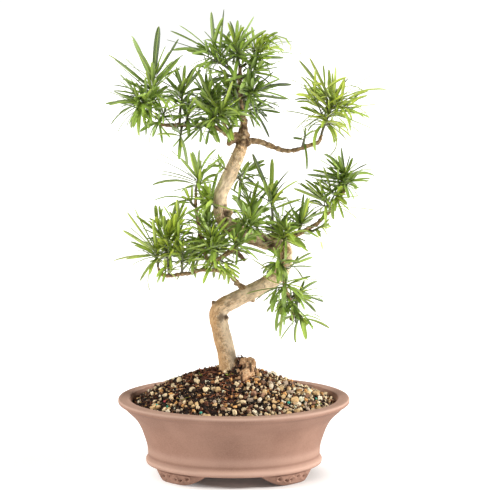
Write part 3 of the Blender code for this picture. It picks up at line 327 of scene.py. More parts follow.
# Studio: half the floor, the oval of its soft shadow as scales, the camera, the light that the
# camera sees behind all, and the lights as name, direction they come from, width in degrees,
# setting, share of it and colour
FLOOR_REACH = 60.0
FLOOR_OVAL = (11.5, 16.0, 1.0)
CAMERA_PLACE = (2.7, -1584.0, 478.4)
CAMERA_PITCH = 8.2
SENSOR_WIDTH = 36.0
BACKDROP_LIGHT = 1.05
LIGHTS = [
    ("key", (-0.88, -0.16, 0.45), 13.0, "key_light", 1.0, "#FFFCF6"),
    ("fill", (0.87, -0.16, 0.46), 12.0, "fill_light", 1.0, "#FFFDF9"),
    ("right_card", (0.93, -0.24, 0.16), 30.0, "card_light", 1.0, "#FFFDF9"),
    ("left_card", (-0.93, -0.24, 0.16), 30.0, "card_light", 0.3, "#FFFDF9"),
]

# Wood, as points of x, y, z and diameter
TRUNK = [
    (-20, 2, 92, 24), (-20, 1, 106, 24), (-20, 0, 118, 22.5), (-22, -1, 130, 20.5), (-24, -1, 141, 19.5),
    (-29, -3, 163, 19), (-32, -5, 180, 20), (-27, -5, 189, 18.5), (-15, -3, 195, 17.5), (6, 1, 205, 17),
    (23, 5, 214, 17.5), (36, 8, 224, 17), (41, 8, 237, 15.5), (40, 6, 250, 16.5), (30, 3, 257, 16),
    (20, 0, 259, 15.5), (-2, -4, 267, 15.5), (-15, -6, 274, 16), (-25, -7, 284, 17), (-29, -7, 297, 15.5),
    (-28, -5, 313, 15), (-18.5, -2, 333, 15.5), (-11, 0, 350, 14), (-6, 2, 364, 13.5), (-5, 3, 377, 10),
    (-4, 3, 390, 7), (-8, 2, 407, 6.5), (-8, 1, 424, 6), (-8, 0, 437, 5), (-8, 0, 447, 4),
]
BRANCHES = {
    "left_upper": [
        (-9, 2, 373, 6), (-20, -4, 375, 5.5), (-38, -9, 385, 5), (-62, -13, 386, 4.6),
        (-83, -16, 386, 4.2), (-98, -18, 388, 3.8), (-107, -19, 393, 3.6), (-105, -19, 402, 3.4),
    ],
    "right_upper": [
        (-5, 2, 368, 6), (13, 6, 367, 5.2), (28, 8, 361, 5), (41, 10, 357, 4.8), (54, 11, 358, 4.6),
        (64, 11, 362, 4.4), (71, 11, 364, 4.2), (77, 11, 367, 4), (80, 11, 374, 3.6),
    ],
    "left_lower": [
        (3, 0, 205, 6), (-7, -5, 211, 5), (-16, -9, 221, 4.4), (-25, -12, 228, 4.2),
        (-47, -16, 231, 4), (-60, -18, 228, 4), (-70, -19, 227, 3.8), (-84, -20, 225, 3.6),
        (-92, -21, 227, 3.4), (-96, -21, 235, 3.2),
    ],
    "left_middle": [
        (-2, -4, 266, 7), (-10, -12, 259, 5.5), (-15, -14, 253, 5), (-23, -17, 248, 4.8),
        (-31, -19, 243, 4.4), (-41, -18, 241, 4.2), (-47, -15, 252, 4), (-50, -13, 267, 3.8),
        (-52, -13, 277, 3.6), (-55, -14, 298, 3.4), (-55, -14, 313, 3.2),
    ],
    "right_middle": [
        (38, 6, 252, 7), (45, 6, 261, 5.4), (64, 9, 271, 5), (76, 11, 278, 4.6), (85, 12, 287, 4.4),
        (92, 13, 294, 4.2), (102, 14, 308, 3.8), (106, 14, 315, 3.4),
    ],
    "right_drooping": [
        (42, 2, 248, 7), (43, -7, 250, 5.5), (40, -12, 243, 5), (39, -14, 232, 4.6),
        (40, -15, 213, 4.4), (45, -15, 200, 4), (50, -15, 185, 3.4),
    ],
    "surface_root": [
        (-20, 0, 116, 12), (-12, -3, 124, 12), (-3, -7, 127, 12.5), (1, -13, 122, 12),
        (-3, -20, 116, 11), (-8, -27, 108, 10), (-10, -30, 98, 8),
    ],
    "root_strand": [(-1, -7, 129, 5), (5, -8, 128, 5), (8, -9, 121, 5), (9, -10, 110, 4.5)],
    "dead_twig": [(-14, -14, 252, 4), (-8, -15, 247, 3), (-3, -16, 241, 2.6)],
    "pruned_tip": [(49, -15, 187, 4), (49, -15, 180, 3.2), (47, -15, 176, 4.2)],
    "pruned_stub": [(-21, -6, 376, 4), (-25, -11, 388, 3.4), (-26, -12, 394, 3.8)],
}
PATHS = {"trunk": TRUNK, **BRANCHES}
PATH_NUMBERS = {name: number for number, name in enumerate(PATHS)}

# A guide for the directions across the wood, the steps along it, the points in a slice, the sides of
# its tubes, and the heights of the leader's foot and of the elbow
GUIDE = (0.31, 0.9, 0.28)
WOOD_STEP = 2.0
FRAME_STEP = 1.5
PATH_SLICE = 4000
TRUNK_SIDES = 32
BRANCH_SIDES = 16
LEADER_Z = 353.0
ELBOW_Z = 264.0

# Leaves: straps with a raised midrib, narrower the younger they are
LEAF_WIDTH = 5.3
LEAF_NARROWING = 0.35
LEAF_RIB = 1.0
LEAF_TIP_RIB = 0.6
LEAF_EDGE_DROP = 0.3
LEAF_ROOT_WIDTH = 1.4
LEAF_STATIONS = (0.3, 0.7)
LEAF_BENT_STATIONS = (0.24, 0.5, 0.77)
LEAF_STRONG_BEND = 38.0
LEAF_OUTLINE = ((0.24, 0.86), (0.3, 0.95), (0.5, 1.0), (0.7, 0.84), (0.77, 0.7), (1.0, 0.0))

# Green stems: a rod with a pointed bud
STEM_DIAMETER = 3.0
BUD_DIAMETER = 2.0
BUD_LENGTH = 4.0
BUD_POINT_DIAMETER = 0.7
SIDEWAYS = (0.3, 0.9, 0.1)

# Placing of the leaves on a stem: shares of the way from foot to bud, tries with growing shifts
TIPPED_SHARES = (0.12, 0.94)
SPIRAL_SHARES = (0.16, 0.96)
ROOT_OFFSET = 0.3
TIP_SHIFT = (3.0, 14.0, 3.0)
BEND_SHIFT = 8.0
ROLL_SHIFT = 0.5
GOLDEN_ANGLE = math.radians(137.508)
OPENING_AT_FOOT = 94.0
OPENING_FALL = 62.0
LEAF_TRIES = 14

# First share of the spiral, tries and growth of the shifts, for the model's leaves and extra ones
OWN_SPIRAL = (0.6, LEAF_TRIES, 1.0)
EXTRA_SPIRAL = (0.3, 10, 2.5)

# What leaves keep clear of: the pot and soil, rods of wood and stem, and each other
LOWEST_LEAF_Z = 135.0
ROD_STEP = 3.0
ROD_CLEARANCE = 0.8
LEAF_CLEARANCE = 0.5
SAME_STEM_CLEARANCE = 0.1
ROOT_SHARE = 0.12
CHECKED_SHARES = (0.16, 1.0, 9)

Shoot = namedtuple("Shoot", "name joint foot bud count length youth tips")
Leaf = namedtuple("Leaf", "base start turn length bend roll width")

# Shoots: name, point on the wood, foot and bud of the green stem, number of leaves, leaf length,
# youth (0 old to 3 new), then the tips of the leaves that stand out, with their bend in degrees
# and youth
SHOOT_ROWS = [
    ("left_top", (-105, -19, 402), (-103, -19, 406), (-98, -15, 440), 12, 46, 0, [
        (-147, -15, 463, 10, 3), (-133, -15, 484, 5, 1), (-122, -15, 480, 8, 0), (-92, -15, 490, 6, 0),
        (-70, -15, 476, 5, 1), (-71, 8, 457, 12, 0), (-66, -37, 450, 15, 1), (-140, 0, 451, 10, 0),
        (-132, -32, 435, 30, 1), (-143, -15, 428, 30, 0), (-142, -15, 423, 30, 1),
    ]),
    ("left_low", (-106, -19, 396), (-110, -22, 399), (-114, -28, 412), 8, 36, 0, [
        (-145, -28, 407, 45, 0), (-137, -10, 397, 40, 1), (-144, -28, 387, 45, 0),
        (-124, -10, 382, 60, 1), (-113, -28, 375, 70, 3), (-108, -28, 375, 60, 1),
        (-92, -29, 390, 60, 3),
    ]),
    ("left_mid", (-72, -14, 386), (-71, -13, 403), (-67, -10, 429), 9, 36, 0, [
        (-75, -24, 448, 6, 0), (-68, 4, 449, 5, 1), (-58, -17, 433, 35, 1), (-88, 5, 437, 15, 0),
        (-50, -25, 442, 12, 0), (-94, 9, 417, 30, 1),
    ]),
    ("left_under", (-69, -14, 386), (-70, -19, 381), (-71, -24, 372), 6, 38, 0, [
        (-95, -42, 378, 20, 2), (-94, -24, 403, -5, 0), (-84, -24, 407, 0, 0), (-48, -7, 395, -30, 0),
        (-71, -39, 351, 10, 0),
    ]),
    ("left_inner", (-39, -9, 385), (-41, -6, 398), (-43, -2, 418), 8, 36, 0, [
        (-56, -18, 437, 5, 0), (-46, 14, 441, 5, 1), (-63, -16, 421, 20, 0), (-27, 13, 433, 10, 0),
        (-61, -18, 404, 30, 1),
    ]),
    ("inner_front", (-28, -7, 379), (-31, -12, 388), (-27, -19, 404), 6, 44, 1, [
        (-59, -18, 449, 8, 2), (-47, -18, 460, 5, 1), (-14, -39, 434, 0, 2), (-28, 1, 429, 0, 2),
    ]),
    ("apex_left", (-8, 0, 436), (-25, -3, 449), (-41, -8, 465), 9, 46, 0, [
        (-40, -10, 505, -6, 2), (-22, -8, 508, 4, 0), (-72, -8, 491, 20, 0), (-82, -8, 485, 12, 2),
        (-86, -8, 476, 8, 0), (-92, -8, 471, 5, 2), (-27, -28, 491, 5, 1), (-57, 8, 448, 20, 1),
    ]),
    ("apex_centre", (-8, 0, 446), (-9, 0, 451), (-13, -5, 471), 10, 36, 0, [
        (-19, -22, 494, 0, 2), (-12, 13, 497, 0, 1), (-30, -17, 473, 12, 0), (-3, 8, 487, 10, 1),
        (-27, -18, 483, 8, 1), (5, 7, 475, 20, 0),
    ]),
    ("apex_right", (-8, 0, 446), (1, 3, 452), (16, 7, 466), 8, 34, 2, [
        (19, -4, 482, -10, 1), (32, 21, 477, 20, 3), (45, 7, 477, 25, 1), (41, 25, 460, 110, 3),
        (25, -1, 461, 120, 3), (36, 22, 459, 95, 3), (39, -8, 456, 10, 0),
    ]),
    ("apex_low_right", (-8, 0, 435), (-2, -4, 437), (9, -11, 444), 7, 34, 0, [
        (36, -23, 448, 25, 0), (30, 4, 450, 30, 1), (27, -25, 438, 15, 1), (15, 3, 425, 60, 1),
        (36, -15, 454, 10, 0),
    ]),
    ("apex_low_left", (-8, 0, 433), (-14, 7, 435), (-26, 15, 441), 6, 36, 0, [
        (-57, 10, 448, 15, 0), (-44, 27, 439, 20, 1), (-45, -1, 429, 25, 1), (-42, 30, 426, 20, 0),
    ]),
    ("leader_right", (-8, 1, 414), (-2, -3, 415), (9, -10, 423), 8, 40, 0, [
        (35, -28, 435, 8, 0), (36, 9, 429, 8, 1), (26, -22, 426, 15, 0), (29, 4, 417, -25, 1),
        (43, -15, 419, 30, 1),
    ]),
    ("leader_low_right", (-5, 2, 399), (-1, 5, 399), (10, 9, 404), 8, 38, 0, [
        (36, -9, 411, 10, 1), (31, 23, 402, 5, 0), (36, -9, 400, 5, 0), (46, 22, 398, 15, 1),
        (15, -2, 389, 25, 1), (22, 20, 393, 30, 0), (13, -6, 383, 10, 0),
    ]),
    ("leader_left", (-8, 1, 415), (-13, 9, 415), (-23, 20, 419), 5, 32, 0, []),
    ("leader_back", (-6, 2, 405), (-5, 10, 408), (-1, 30, 416), 7, 38, 0, []),
    ("right_top", (80, 11, 374), (81, 11, 379), (94, 8, 412), 14, 44, 2, [
        (134, 8, 381, 12, 1), (54, 8, 367, -5, 2), (106, 8, 370, 10, 2), (94, 8, 365, 70, 2),
        (40, 8, 400, 15, 1), (57, 28, 404, 25, 1), (57, 8, 386, 80, 2), (132, 17, 390, 45, 3),
        (110, -13, 387, 80, 3), (118, 30, 386, 60, 1), (57, 8, 456, 6, 1), (64, 8, 456, 10, 3),
        (93, -4, 448, 0, 1), (136, 8, 440, 10, 2), (123, -12, 421, 140, 2), (150, 8, 423, 45, 2),
        (127, -8, 419, 5, 1), (50, 13, 411, 100, 2), (55, 1, 409, 100, 3), (60, 30, 426, 80, 3),
    ]),
    ("right_small", (59, 11, 360), (60, 10, 364), (62, 8, 373), 3, 18, 0, [
        (67, 8, 338, 50, 2), (49, 17, 370, 10, 1), (72, 1, 372, 10, 1),
    ]),
    ("middle_top", (-55, -14, 313), (-55, -14, 318), (-51, -13, 335), 10, 42, 1, [
        (-100, -13, 351, 20, 0), (-96, -13, 338, 20, 1), (-95, -13, 334, 15, 1), (-101, -13, 320, 55, 1),
        (-81, -17, 315, 10, 1), (-83, -1, 359, 8, 2), (-70, -31, 353, 8, 1), (-57, 0, 352, 0, 3),
        (-52, -27, 357, -8, 1), (-35, 0, 345, 10, 0), (-25, -31, 355, 0, 0), (-42, 5, 308, 8, 3),
    ]),
    ("middle_small", (-55, -14, 299), (-58, -17, 301), (-62, -21, 308), 5, 28, 2, [
        (-100, -21, 305, 60, 0), (-82, -7, 300, 40, 1), (-65, -29, 321, -10, 3), (-59, -11, 321, 0, 3),
    ]),
    ("low_left_end", (-96, -21, 235), (-96, -21, 240), (-98, -24, 255), 11, 40, 1, [
        (-99, -36, 289, 0, 1), (-133, -24, 277, 20, 1), (-129, -24, 294, 0, 2), (-121, -24, 299, 0, 2),
        (-125, -24, 278, 10, 1), (-128, -4, 259, 20, 1), (-129, -33, 244, 20, 1),
        (-144, -24, 242, 25, 2), (-123, -39, 239, 30, 1), (-116, -13, 218, 20, 2),
        (-105, -43, 230, 30, 1), (-80, -6, 223, 10, 1), (-104, -24, 209, 75, 2),
    ]),
    ("low_left_up", (-84, -20, 225), (-85, -17, 240), (-85, -12, 269), 8, 34, 1, [
        (-96, -12, 300, -6, 1), (-75, -12, 303, 4, 0), (-66, -12, 299, 5, 1), (-64, -5, 295, 10, 2),
        (-58, -12, 287, 10, 0), (-61, 5, 261, 15, 0),
    ]),
    ("low_left_inner", (-70, -19, 227), (-70, -22, 234), (-69, -27, 253), 7, 28, 0, [
        (-57, -36, 248, 20, 1), (-50, -13, 260, 10, 0), (-82, -39, 266, 10, 1),
    ]),
    ("middle_low", (-32, -19, 243), (-36, -21, 249), (-39, -26, 269), 8, 34, 0, [
        (-60, -42, 282, 10, 1), (-65, -9, 267, 15, 0), (-20, -42, 286, 10, 0), (-18, -11, 271, 20, 1),
    ]),
    ("middle_front", (-36, -19, 242), (-37, -24, 240), (-39, -35, 236), 6, 30, 3, [
        (-20, -48, 244, 5, 3), (-56, -23, 230, 20, 3), (-47, -48, 221, 30, 2), (-25, -23, 224, 30, 3),
    ]),
    ("middle_right", (-14, -14, 254), (-13, -18, 253), (-14, -28, 264), 7, 34, 0, [
        (16, -28, 272, 40, 0), (6, -13, 253, 30, 1), (3, -39, 264, 10, 1), (-18, -12, 239, 20, 1),
        (-25, -40, 279, 5, 1),
    ]),
    ("middle_up", (-48, -14, 264), (-45, -10, 270), (-41, -5, 287), 8, 32, 0, [
        (-58, -18, 295, 10, 0), (-46, 9, 305, 5, 0), (-27, -15, 292, 15, 1), (-62, 10, 279, 20, 1),
    ]),
    ("middle_left", (-44, -16, 244), (-50, -12, 242), (-58, -4, 249), 7, 32, 0, [
        (-77, -19, 240, 30, 1), (-73, 10, 260, 10, 1),
    ]),
    ("middle_back", (-41, -18, 240), (-36, 0, 244), (-30, 28, 257), 7, 36, 0, []),
    ("neck_left", (-26, -7, 292), (-35, -15, 300), (-41, -20, 307), 4, 32, 0, [
        (-7, -20, 293, 15, 1), (-46, -6, 325, -8, 2), (-53, -34, 292, 40, 1),
    ]),
    ("neck_right", (-16, -2, 331), (-10, 7, 328), (-3, 13, 334), 5, 28, 0, [
        (6, 3, 346, 20, 1), (20, 26, 341, 12, 0), (-5, 0, 315, 10, 0),
    ]),
    ("shelf_back", (16, 0, 259), (9, 13, 277), (1, 18, 303), 8, 32, 0, [
        (10, 3, 326, 10, 1), (-18, 31, 304, 10, 1), (-8, 4, 324, 8, 0), (16, 29, 296, 20, 1),
    ]),
    ("shelf_front", (3, -4, 265), (3, -12, 274), (3, -17, 285), 7, 32, 0, [
        (-14, -20, 307, 10, 0), (-8, 1, 297, 5, 1), (20, -24, 279, 15, 1), (16, 0, 292, 10, 1),
    ]),
    ("shelf_upright", (27, 2, 258), (27, 5, 289), (24, 3, 314), 8, 42, 0, [
        (5, 3, 355, -4, 1), (29, 24, 348, 0, 1), (56, -10, 326, 30, 1), (46, 20, 325, 50, 1),
        (59, -6, 306, 10, 1), (10, 16, 327, -25, 1), (39, -8, 316, 40, 2),
    ]),
    ("bend_front", (39, 4, 254), (40, -6, 259), (43, -14, 273), 8, 32, 1, [
        (63, -23, 256, 40, 1), (57, 1, 252, 15, 1), (29, -26, 284, 5, 0), (26, -2, 270, 20, 2),
    ]),
    ("bend_right", (53, 7, 266), (55, 2, 270), (60, -3, 283), 8, 34, 0, [
        (64, -18, 310, 0, 0), (59, 7, 297, -5, 0), (66, -14, 312, 0, 3), (44, 13, 306, 5, 0),
        (38, -19, 296, 10, 1),
    ]),
    ("bend_tip", (66, 9, 272), (70, 5, 270), (80, 0, 276), 6, 22, 3, [
        (92, -6, 287, -10, 3), (90, 12, 273, 10, 3), (80, -1, 270, 20, 3),
    ]),
    ("bend_back", (37, 6, 256), (37, 16, 263), (35, 36, 274), 7, 36, 0, []),
    ("far_right_top", (106, 14, 315), (107, 14, 319), (105, 12, 332), 10, 34, 0, [
        (77, 12, 348, 5, 2), (94, 28, 352, 5, 1), (97, -3, 353, 5, 0), (116, 26, 348, 5, 2),
        (129, 1, 344, 20, 1), (135, 28, 325, 20, 1), (123, -4, 319, 10, 2), (121, 29, 305, 30, 1),
        (70, 12, 334, 20, 1), (64, 12, 331, 10, 0), (76, 2, 333, 20, 0),
    ]),
    ("far_right_low", (92, 13, 294), (89, 9, 295), (84, 3, 304), 7, 38, 1, [
        (48, 3, 316, 10, 1), (53, 14, 322, 5, 2), (61, -12, 325, 0, 1), (74, 17, 320, -20, 1),
        (139, 3, 293, 10, 2), (109, 21, 289, 30, 1),
    ]),
    ("droop_top", (39, -12, 242), (36, -18, 241), (31, -27, 239), 5, 26, 1, [
        (15, -38, 239, 50, 0), (32, -15, 255, -10, 3), (36, -38, 221, 15, 3), (20, -16, 226, 30, 1),
    ]),
    ("droop_side", (39, -13, 235), (44, -10, 232), (50, -6, 236), 4, 26, 1, [
        (69, -11, 249, 25, 1), (71, 7, 242, 5, 1), (70, -16, 234, 15, 2),
    ]),
    ("droop_mid", (40, -15, 211), (40, -21, 211), (41, -31, 221), 8, 32, 1, [
        (93, -31, 222, 30, 2), (69, -16, 223, 20, 1), (59, -45, 215, 20, 2), (4, -31, 246, 5, 2),
        (16, -41, 230, -50, 3), (-2, -31, 208, 15, 2),
    ]),
    ("droop_low", (45, -15, 199), (49, -11, 199), (56, -6, 204), 7, 30, 0, [
        (83, -6, 200, 15, 2), (83, 5, 194, 15, 1), (73, -20, 195, 25, 2),
    ]),
    ("droop_tip", (50, -15, 185), (55, -17, 183), (60, -23, 178), 7, 32, 1, [
        (78, -36, 182, 80, 2), (72, -9, 167, 10, 1), (62, -36, 159, 5, 2), (33, -11, 157, 15, 2),
        (30, -21, 165, 85, 1),
    ]),
]
SHOOTS = [Shoot(*row) for row in SHOOT_ROWS]


def smooth_rows(rows, step):
    """Points about a step apart on the smooth curve through the rows: cubics whose slope at a row is
    half the way between its two neighbours."""
    rows = np.asarray(rows, float)
    padded = np.vstack([2 * rows[0] - rows[1], rows, 2 * rows[-1] - rows[-2]])
    result = []
    for p0, p1, p2, p3 in zip(padded, padded[1:], padded[2:], padded[3:]):
        count = max(1, int(round(np.linalg.norm((p2 - p1)[:3]) / step)))
        t = (np.arange(count) / count)[:, None]
        result.append(0.5 * (2 * p1 + (p2 - p0) * t + (2 * p0 - 5 * p1 + 4 * p2 - p3) * t ** 2
                             + (3 * p1 - p0 - 3 * p2 + p3) * t ** 3))
    result.append(rows[-1:])
    return np.vstack(result)


def soil_height(x, y, radius):
    """Mound: a dome over the oval, a heap against the surface root and rough lumps as crossed
    waves."""
    heap_x, heap_y, heap_height, heap_reach = ROOT_HEAP
    away = ((x - heap_x) ** 2 + (y - heap_y) ** 2) / heap_reach ** 2
    dome = SOIL_RISE * (1.0 - radius ** 2) ** SOIL_SHOULDER + heap_height * np.exp(-away)
    lumps = (np.sin(0.61 * x + 0.35 * y) * np.sin(0.52 * y - 0.23 * x + 1.3)
             + 0.6 * np.sin(1.07 * x - 0.8 * y + 0.6) * np.sin(0.93 * y + 0.41 * x))
    return SOIL_EDGE_Z + dome + SOIL_GRIT * lumps * np.minimum(1.0, 4.0 * (1.0 - radius))


def stem_rows(shoot):
    """Green stem: from the wood through its foot to its bud, ending in a point."""
    joint, foot, bud = (np.asarray(p, float) for p in (shoot.joint, shoot.foot, shoot.bud))
    point = bud + unit(bud - foot) * BUD_LENGTH
    return [(*joint, STEM_DIAMETER), (*foot, STEM_DIAMETER), (*bud, BUD_DIAMETER),
            (*point, BUD_POINT_DIAMETER)]


def unit(vector):
    """A vector divided by its length."""
    return vector / np.linalg.norm(vector)


def square_to(vector, direction):
    """The part of a vector that stands square to a direction, as a unit vector."""
    return unit(vector - (vector @ direction) * direction)


def drooping(start, lean=0.25):
    """The direction in which a leaf bends: down, and a little the way that it starts."""
    return square_to(np.array([lean * start[0], lean * start[1] - 0.02, -1.0]), start)


def stem_axes(shoot):
    """A stem's foot and bud, its direction and two directions square to it."""
    foot, bud = np.asarray(shoot.foot, float), np.asarray(shoot.bud, float)
    axis = unit(bud - foot)
    across = unit(np.cross(axis, SIDEWAYS))
    return foot, bud, axis, across, np.cross(axis, across)


def fanned(axes, opening, azimuth):
    """A direction that opens from a stem by one angle and stands round it at another."""
    axis, across, third = axes
    return (math.cos(opening) * axis
            + math.sin(opening) * (math.cos(azimuth) * across + math.sin(azimuth) * third))


def leaf_frame(base, tip, bend):
    """Start direction, bending direction and length of a circular arc from base to tip."""
    chord = tip - base
    along = unit(chord)
    down = drooping(along, 0.3)
    half = math.radians(bend) / 2.0
    start = math.cos(half) * along - math.sin(half) * down
    turn = math.sin(half) * along + math.cos(half) * down
    stretch = half / math.sin(half) if abs(half) > 0.01 else 1.0
    return start, turn, np.linalg.norm(chord) * stretch


def leaf_spine(leaf, t):
    """Points and directions at shares t of the length of a circular arc."""
    angle = math.radians(leaf.bend) if abs(leaf.bend) > 1.0 else math.radians(1.0)
    a = (angle * np.asarray(t, float))[:, None]
    points = leaf.base + leaf.length / angle * (np.sin(a) * leaf.start + (1.0 - np.cos(a)) * leaf.turn)
    along = np.cos(a) * leaf.start + np.sin(a) * leaf.turn
    under = -np.sin(a) * leaf.start + np.cos(a) * leaf.turn
    return points, along, under


def leaf_mesh(leaf, grow=0.0, first=0.0):
    """A blade of triangular section with its midrib raised, from a narrow root to a sharp tip. It
    can be grown on all sides and started at a later share of its length, to measure clearances."""
    inner = LEAF_BENT_STATIONS if abs(leaf.bend) > LEAF_STRONG_BEND else LEAF_STATIONS
    t = np.array([first, *inner, 1.0])
    shares, widths = zip((0.0, LEAF_ROOT_WIDTH / leaf.width), *LEAF_OUTLINE)
    shape = np.interp(t, shares, widths)
    points, along, under = leaf_spine(leaf, t)
    flat = np.cross(leaf.start, leaf.turn)
    side = math.cos(leaf.roll) * flat[None, :] + math.sin(leaf.roll) * under
    up = np.cross(side, along)
    half = (shape * leaf.width / 2.0 + grow)[:, None]
    rib = (LEAF_RIB * np.interp(t, [0.5, 1.0], [1.0, LEAF_TIP_RIB]) + grow)[:, None]
    drop = LEAF_EDGE_DROP * LEAF_RIB
    left = points - side * half - up * (drop + grow)
    right = points + side * half - up * (drop + grow)
    top = points + up * (rib - drop)
    count = len(t) - 1
    vertices = np.vstack([np.stack([left, right, top], axis=1)[:count].reshape(-1, 3), points[-1:]])
    faces = [(0, 1, 2)]
    for s in range(count - 1):
        for k in range(3):
            a, b = 3 * s + k, 3 * s + (k + 1) % 3
            faces += [(a, b + 3, b), (a, a + 3, b + 3)]
    last = 3 * (count - 1)
    faces += [(last + k, 3 * count, last + (k + 1) % 3) for k in range(3)]
    return vertices, faces


def leaf_tree(leaf, grow=0.0, first=0.0):
    """Search tree over a blade's faces."""
    vertices, faces = leaf_mesh(leaf, grow, first)
    return BVHTree.FromPolygons(vertices.tolist(), faces)


def leaf_box(leaf, grow=0.0, first=0.0):
    """The least and the greatest corner of a blade's box."""
    vertices = leaf_mesh(leaf, grow, first)[0]
    return vertices.min(axis=0), vertices.max(axis=0)


def wood_rods():
    """Places and diameters along all paths of the wood."""
    return np.vstack([smooth_rows(rows, ROD_STEP) for rows in PATHS.values()])


def rod_gap(points, rod):
    """The least gap between points and a rod of places and diameters."""
    return (np.linalg.norm(points[:, None, :] - rod[None, :, :3], axis=2) - rod[None, :, 3] / 2).min()


class Clearance:
    """Keeps leaves clear of the wood, of other shoots and, past their roots, of each other."""

    def __init__(self):
        self.rods = [(None, wood_rods())]
        self.rods += [(shoot.name, smooth_rows(stem_rows(shoot), ROD_STEP)) for shoot in SHOOTS]
        self.leaves = []

    def free(self, shoot, leaf):
        """Whether the leaf stands clear of all that is there already."""
        points = leaf_spine(leaf, np.linspace(*CHECKED_SHARES))[0]
        if points[:, 2].min() < LOWEST_LEAF_Z:
            return False
        for owner, rod in self.rods:
            if owner != shoot.name and rod_gap(points, rod) < leaf.width / 2 + ROD_CLEARANCE:
                return False
        low, high = leaf_box(leaf, LEAF_CLEARANCE)
        near = [other for other in self.leaves if np.all(low <= other[2]) and np.all(high >= other[1])]
        whole = leaf_tree(leaf, LEAF_CLEARANCE)
        outer = leaf_tree(leaf, SAME_STEM_CLEARANCE, ROOT_SHARE)
        for owner, _, _, other_whole, other_outer in near:
            if outer.overlap(other_outer) if owner == shoot.name else whole.overlap(other_whole):
                return False
        return True

    def add(self, shoot, leaf):
        """Notes a leaf with its box and its search trees."""
        self.leaves.append((shoot.name, *leaf_box(leaf), leaf_tree(leaf),
                            leaf_tree(leaf, SAME_STEM_CLEARANCE, ROOT_SHARE)))


class LooseClearance:
    """Keeps extra leaves off the wood and the pot, and off other leaves except where they are bound
    to crowd, near their roots. The boxes of all leaves are kept as arrays."""

    def __init__(self, grown):
        self.rods = wood_rods()
        self.bare = np.array([row for row in TRUNK if row[2] > BARE_TRUNK[0] - BARE_TRUNK_MARGIN])
        self.trees, self.lows, self.highs = [], [], []
        for shoot in SHOOTS:
            for leaf in grown[shoot.name]:
                self.add(shoot, leaf)

    def add(self, shoot, leaf):
        """Notes a leaf past its root."""
        low, high = leaf_box(leaf, 0.0, EXTRA_ROOT_SHARE)
        self.trees.append(leaf_tree(leaf, 0.0, EXTRA_ROOT_SHARE))
        self.lows.append(low)
        self.highs.append(high)

    def free(self, shoot, leaf):
        """Whether the leaf stands clear of the wood, the bare trunk's front and the other leaves."""
        points = leaf_spine(leaf, np.linspace(*EXTRA_CHECKED))[0]
        if points[:, 2].min() < LOWEST_LEAF_Z or rod_gap(points, self.rods) < leaf.width / 2:
            return False
        low, high, reach = BARE_TRUNK
        side = np.abs(points[:, 0] - np.interp(points[:, 2], self.bare[:, 2], self.bare[:, 0])) < reach
        if np.any(side & (points[:, 2] > low) & (points[:, 2] < high) & (points[:, 1] < 0.0)):
            return False
        low, high = leaf_box(leaf, 0.0, EXTRA_ROOT_SHARE)
        near = np.all(np.array(self.highs) >= low, axis=1) & np.all(np.array(self.lows) <= high, axis=1)
        tree = leaf_tree(leaf, 0.0, EXTRA_ROOT_SHARE)
        return not any(tree.overlap(self.trees[k]) for k in np.flatnonzero(near))


def tipped_leaves(shoot, clearance, rng):
    """The leaves with a chosen tip: each starts where its direction suits the stem."""
    foot, bud = np.asarray(shoot.foot, float), np.asarray(shoot.bud, float)
    axis = unit(bud - foot)
    leaves = []
    ordered = sorted(shoot.tips, key=lambda tip: (np.array(tip[:3]) - foot) @ axis)
    for rank, (*place, bend, youth) in enumerate(ordered):
        share = np.interp((rank + 0.5) / len(ordered), [0.0, 1.0], TIPPED_SHARES)
        for attempt in range(LEAF_TRIES):
            shift = rng.uniform(-1.0, 1.0, 4) * min(1.0, attempt / 5.0)
            tip = np.array(place) + np.array(TIP_SHIFT) * shift[:3]
            base = foot + (bud - foot) * share
            outward = (tip - base) - ((tip - base) @ axis) * axis
            base = base + ROOT_OFFSET * unit(outward)
            bent = bend + BEND_SHIFT * shift[3]
            start, turn, reach = leaf_frame(base, tip, bent)
            leaf = Leaf(base, start, turn, reach, bent, ROLL_SHIFT * shift[1],
                        LEAF_WIDTH - LEAF_NARROWING * youth)
            if clearance.free(shoot, leaf):
                clearance.add(shoot, leaf)
                leaves.append(leaf)
                break
    return leaves


def spiral_leaf(shoot, share, azimuth, attempt, wobble):
    """One leaf of the spiral: wide open at the foot, closing round the bud, longest in between."""
    foot, bud, *axes = stem_axes(shoot)
    spread = 0.12 + 0.1 * attempt
    azimuth += 2.0 * spread * wobble[0]
    opening = math.radians(OPENING_AT_FOOT - OPENING_FALL * share ** 1.4
                           + 9.0 * wobble[1] * (1.0 + spread))
    start = fanned(axes, opening, azimuth)
    bend = (34.0 - 18.0 * share + 8.0 * shoot.youth) * (1.0 + 0.5 * wobble[2])
    reach = shoot.length * (0.74 + 0.3 * math.sin(math.pi * (0.15 + 0.75 * share)))
    reach *= (1.0 + 0.1 * wobble[3]) * (1.0 - 0.25 * attempt / LEAF_TRIES)
    base = foot + (bud - foot) * np.interp(share, [0.0, 1.0], SPIRAL_SHARES)
    width = LEAF_WIDTH - LEAF_NARROWING * shoot.youth
    return Leaf(base, unit(start), drooping(start), reach, bend, 0.35 * wobble[4], width)


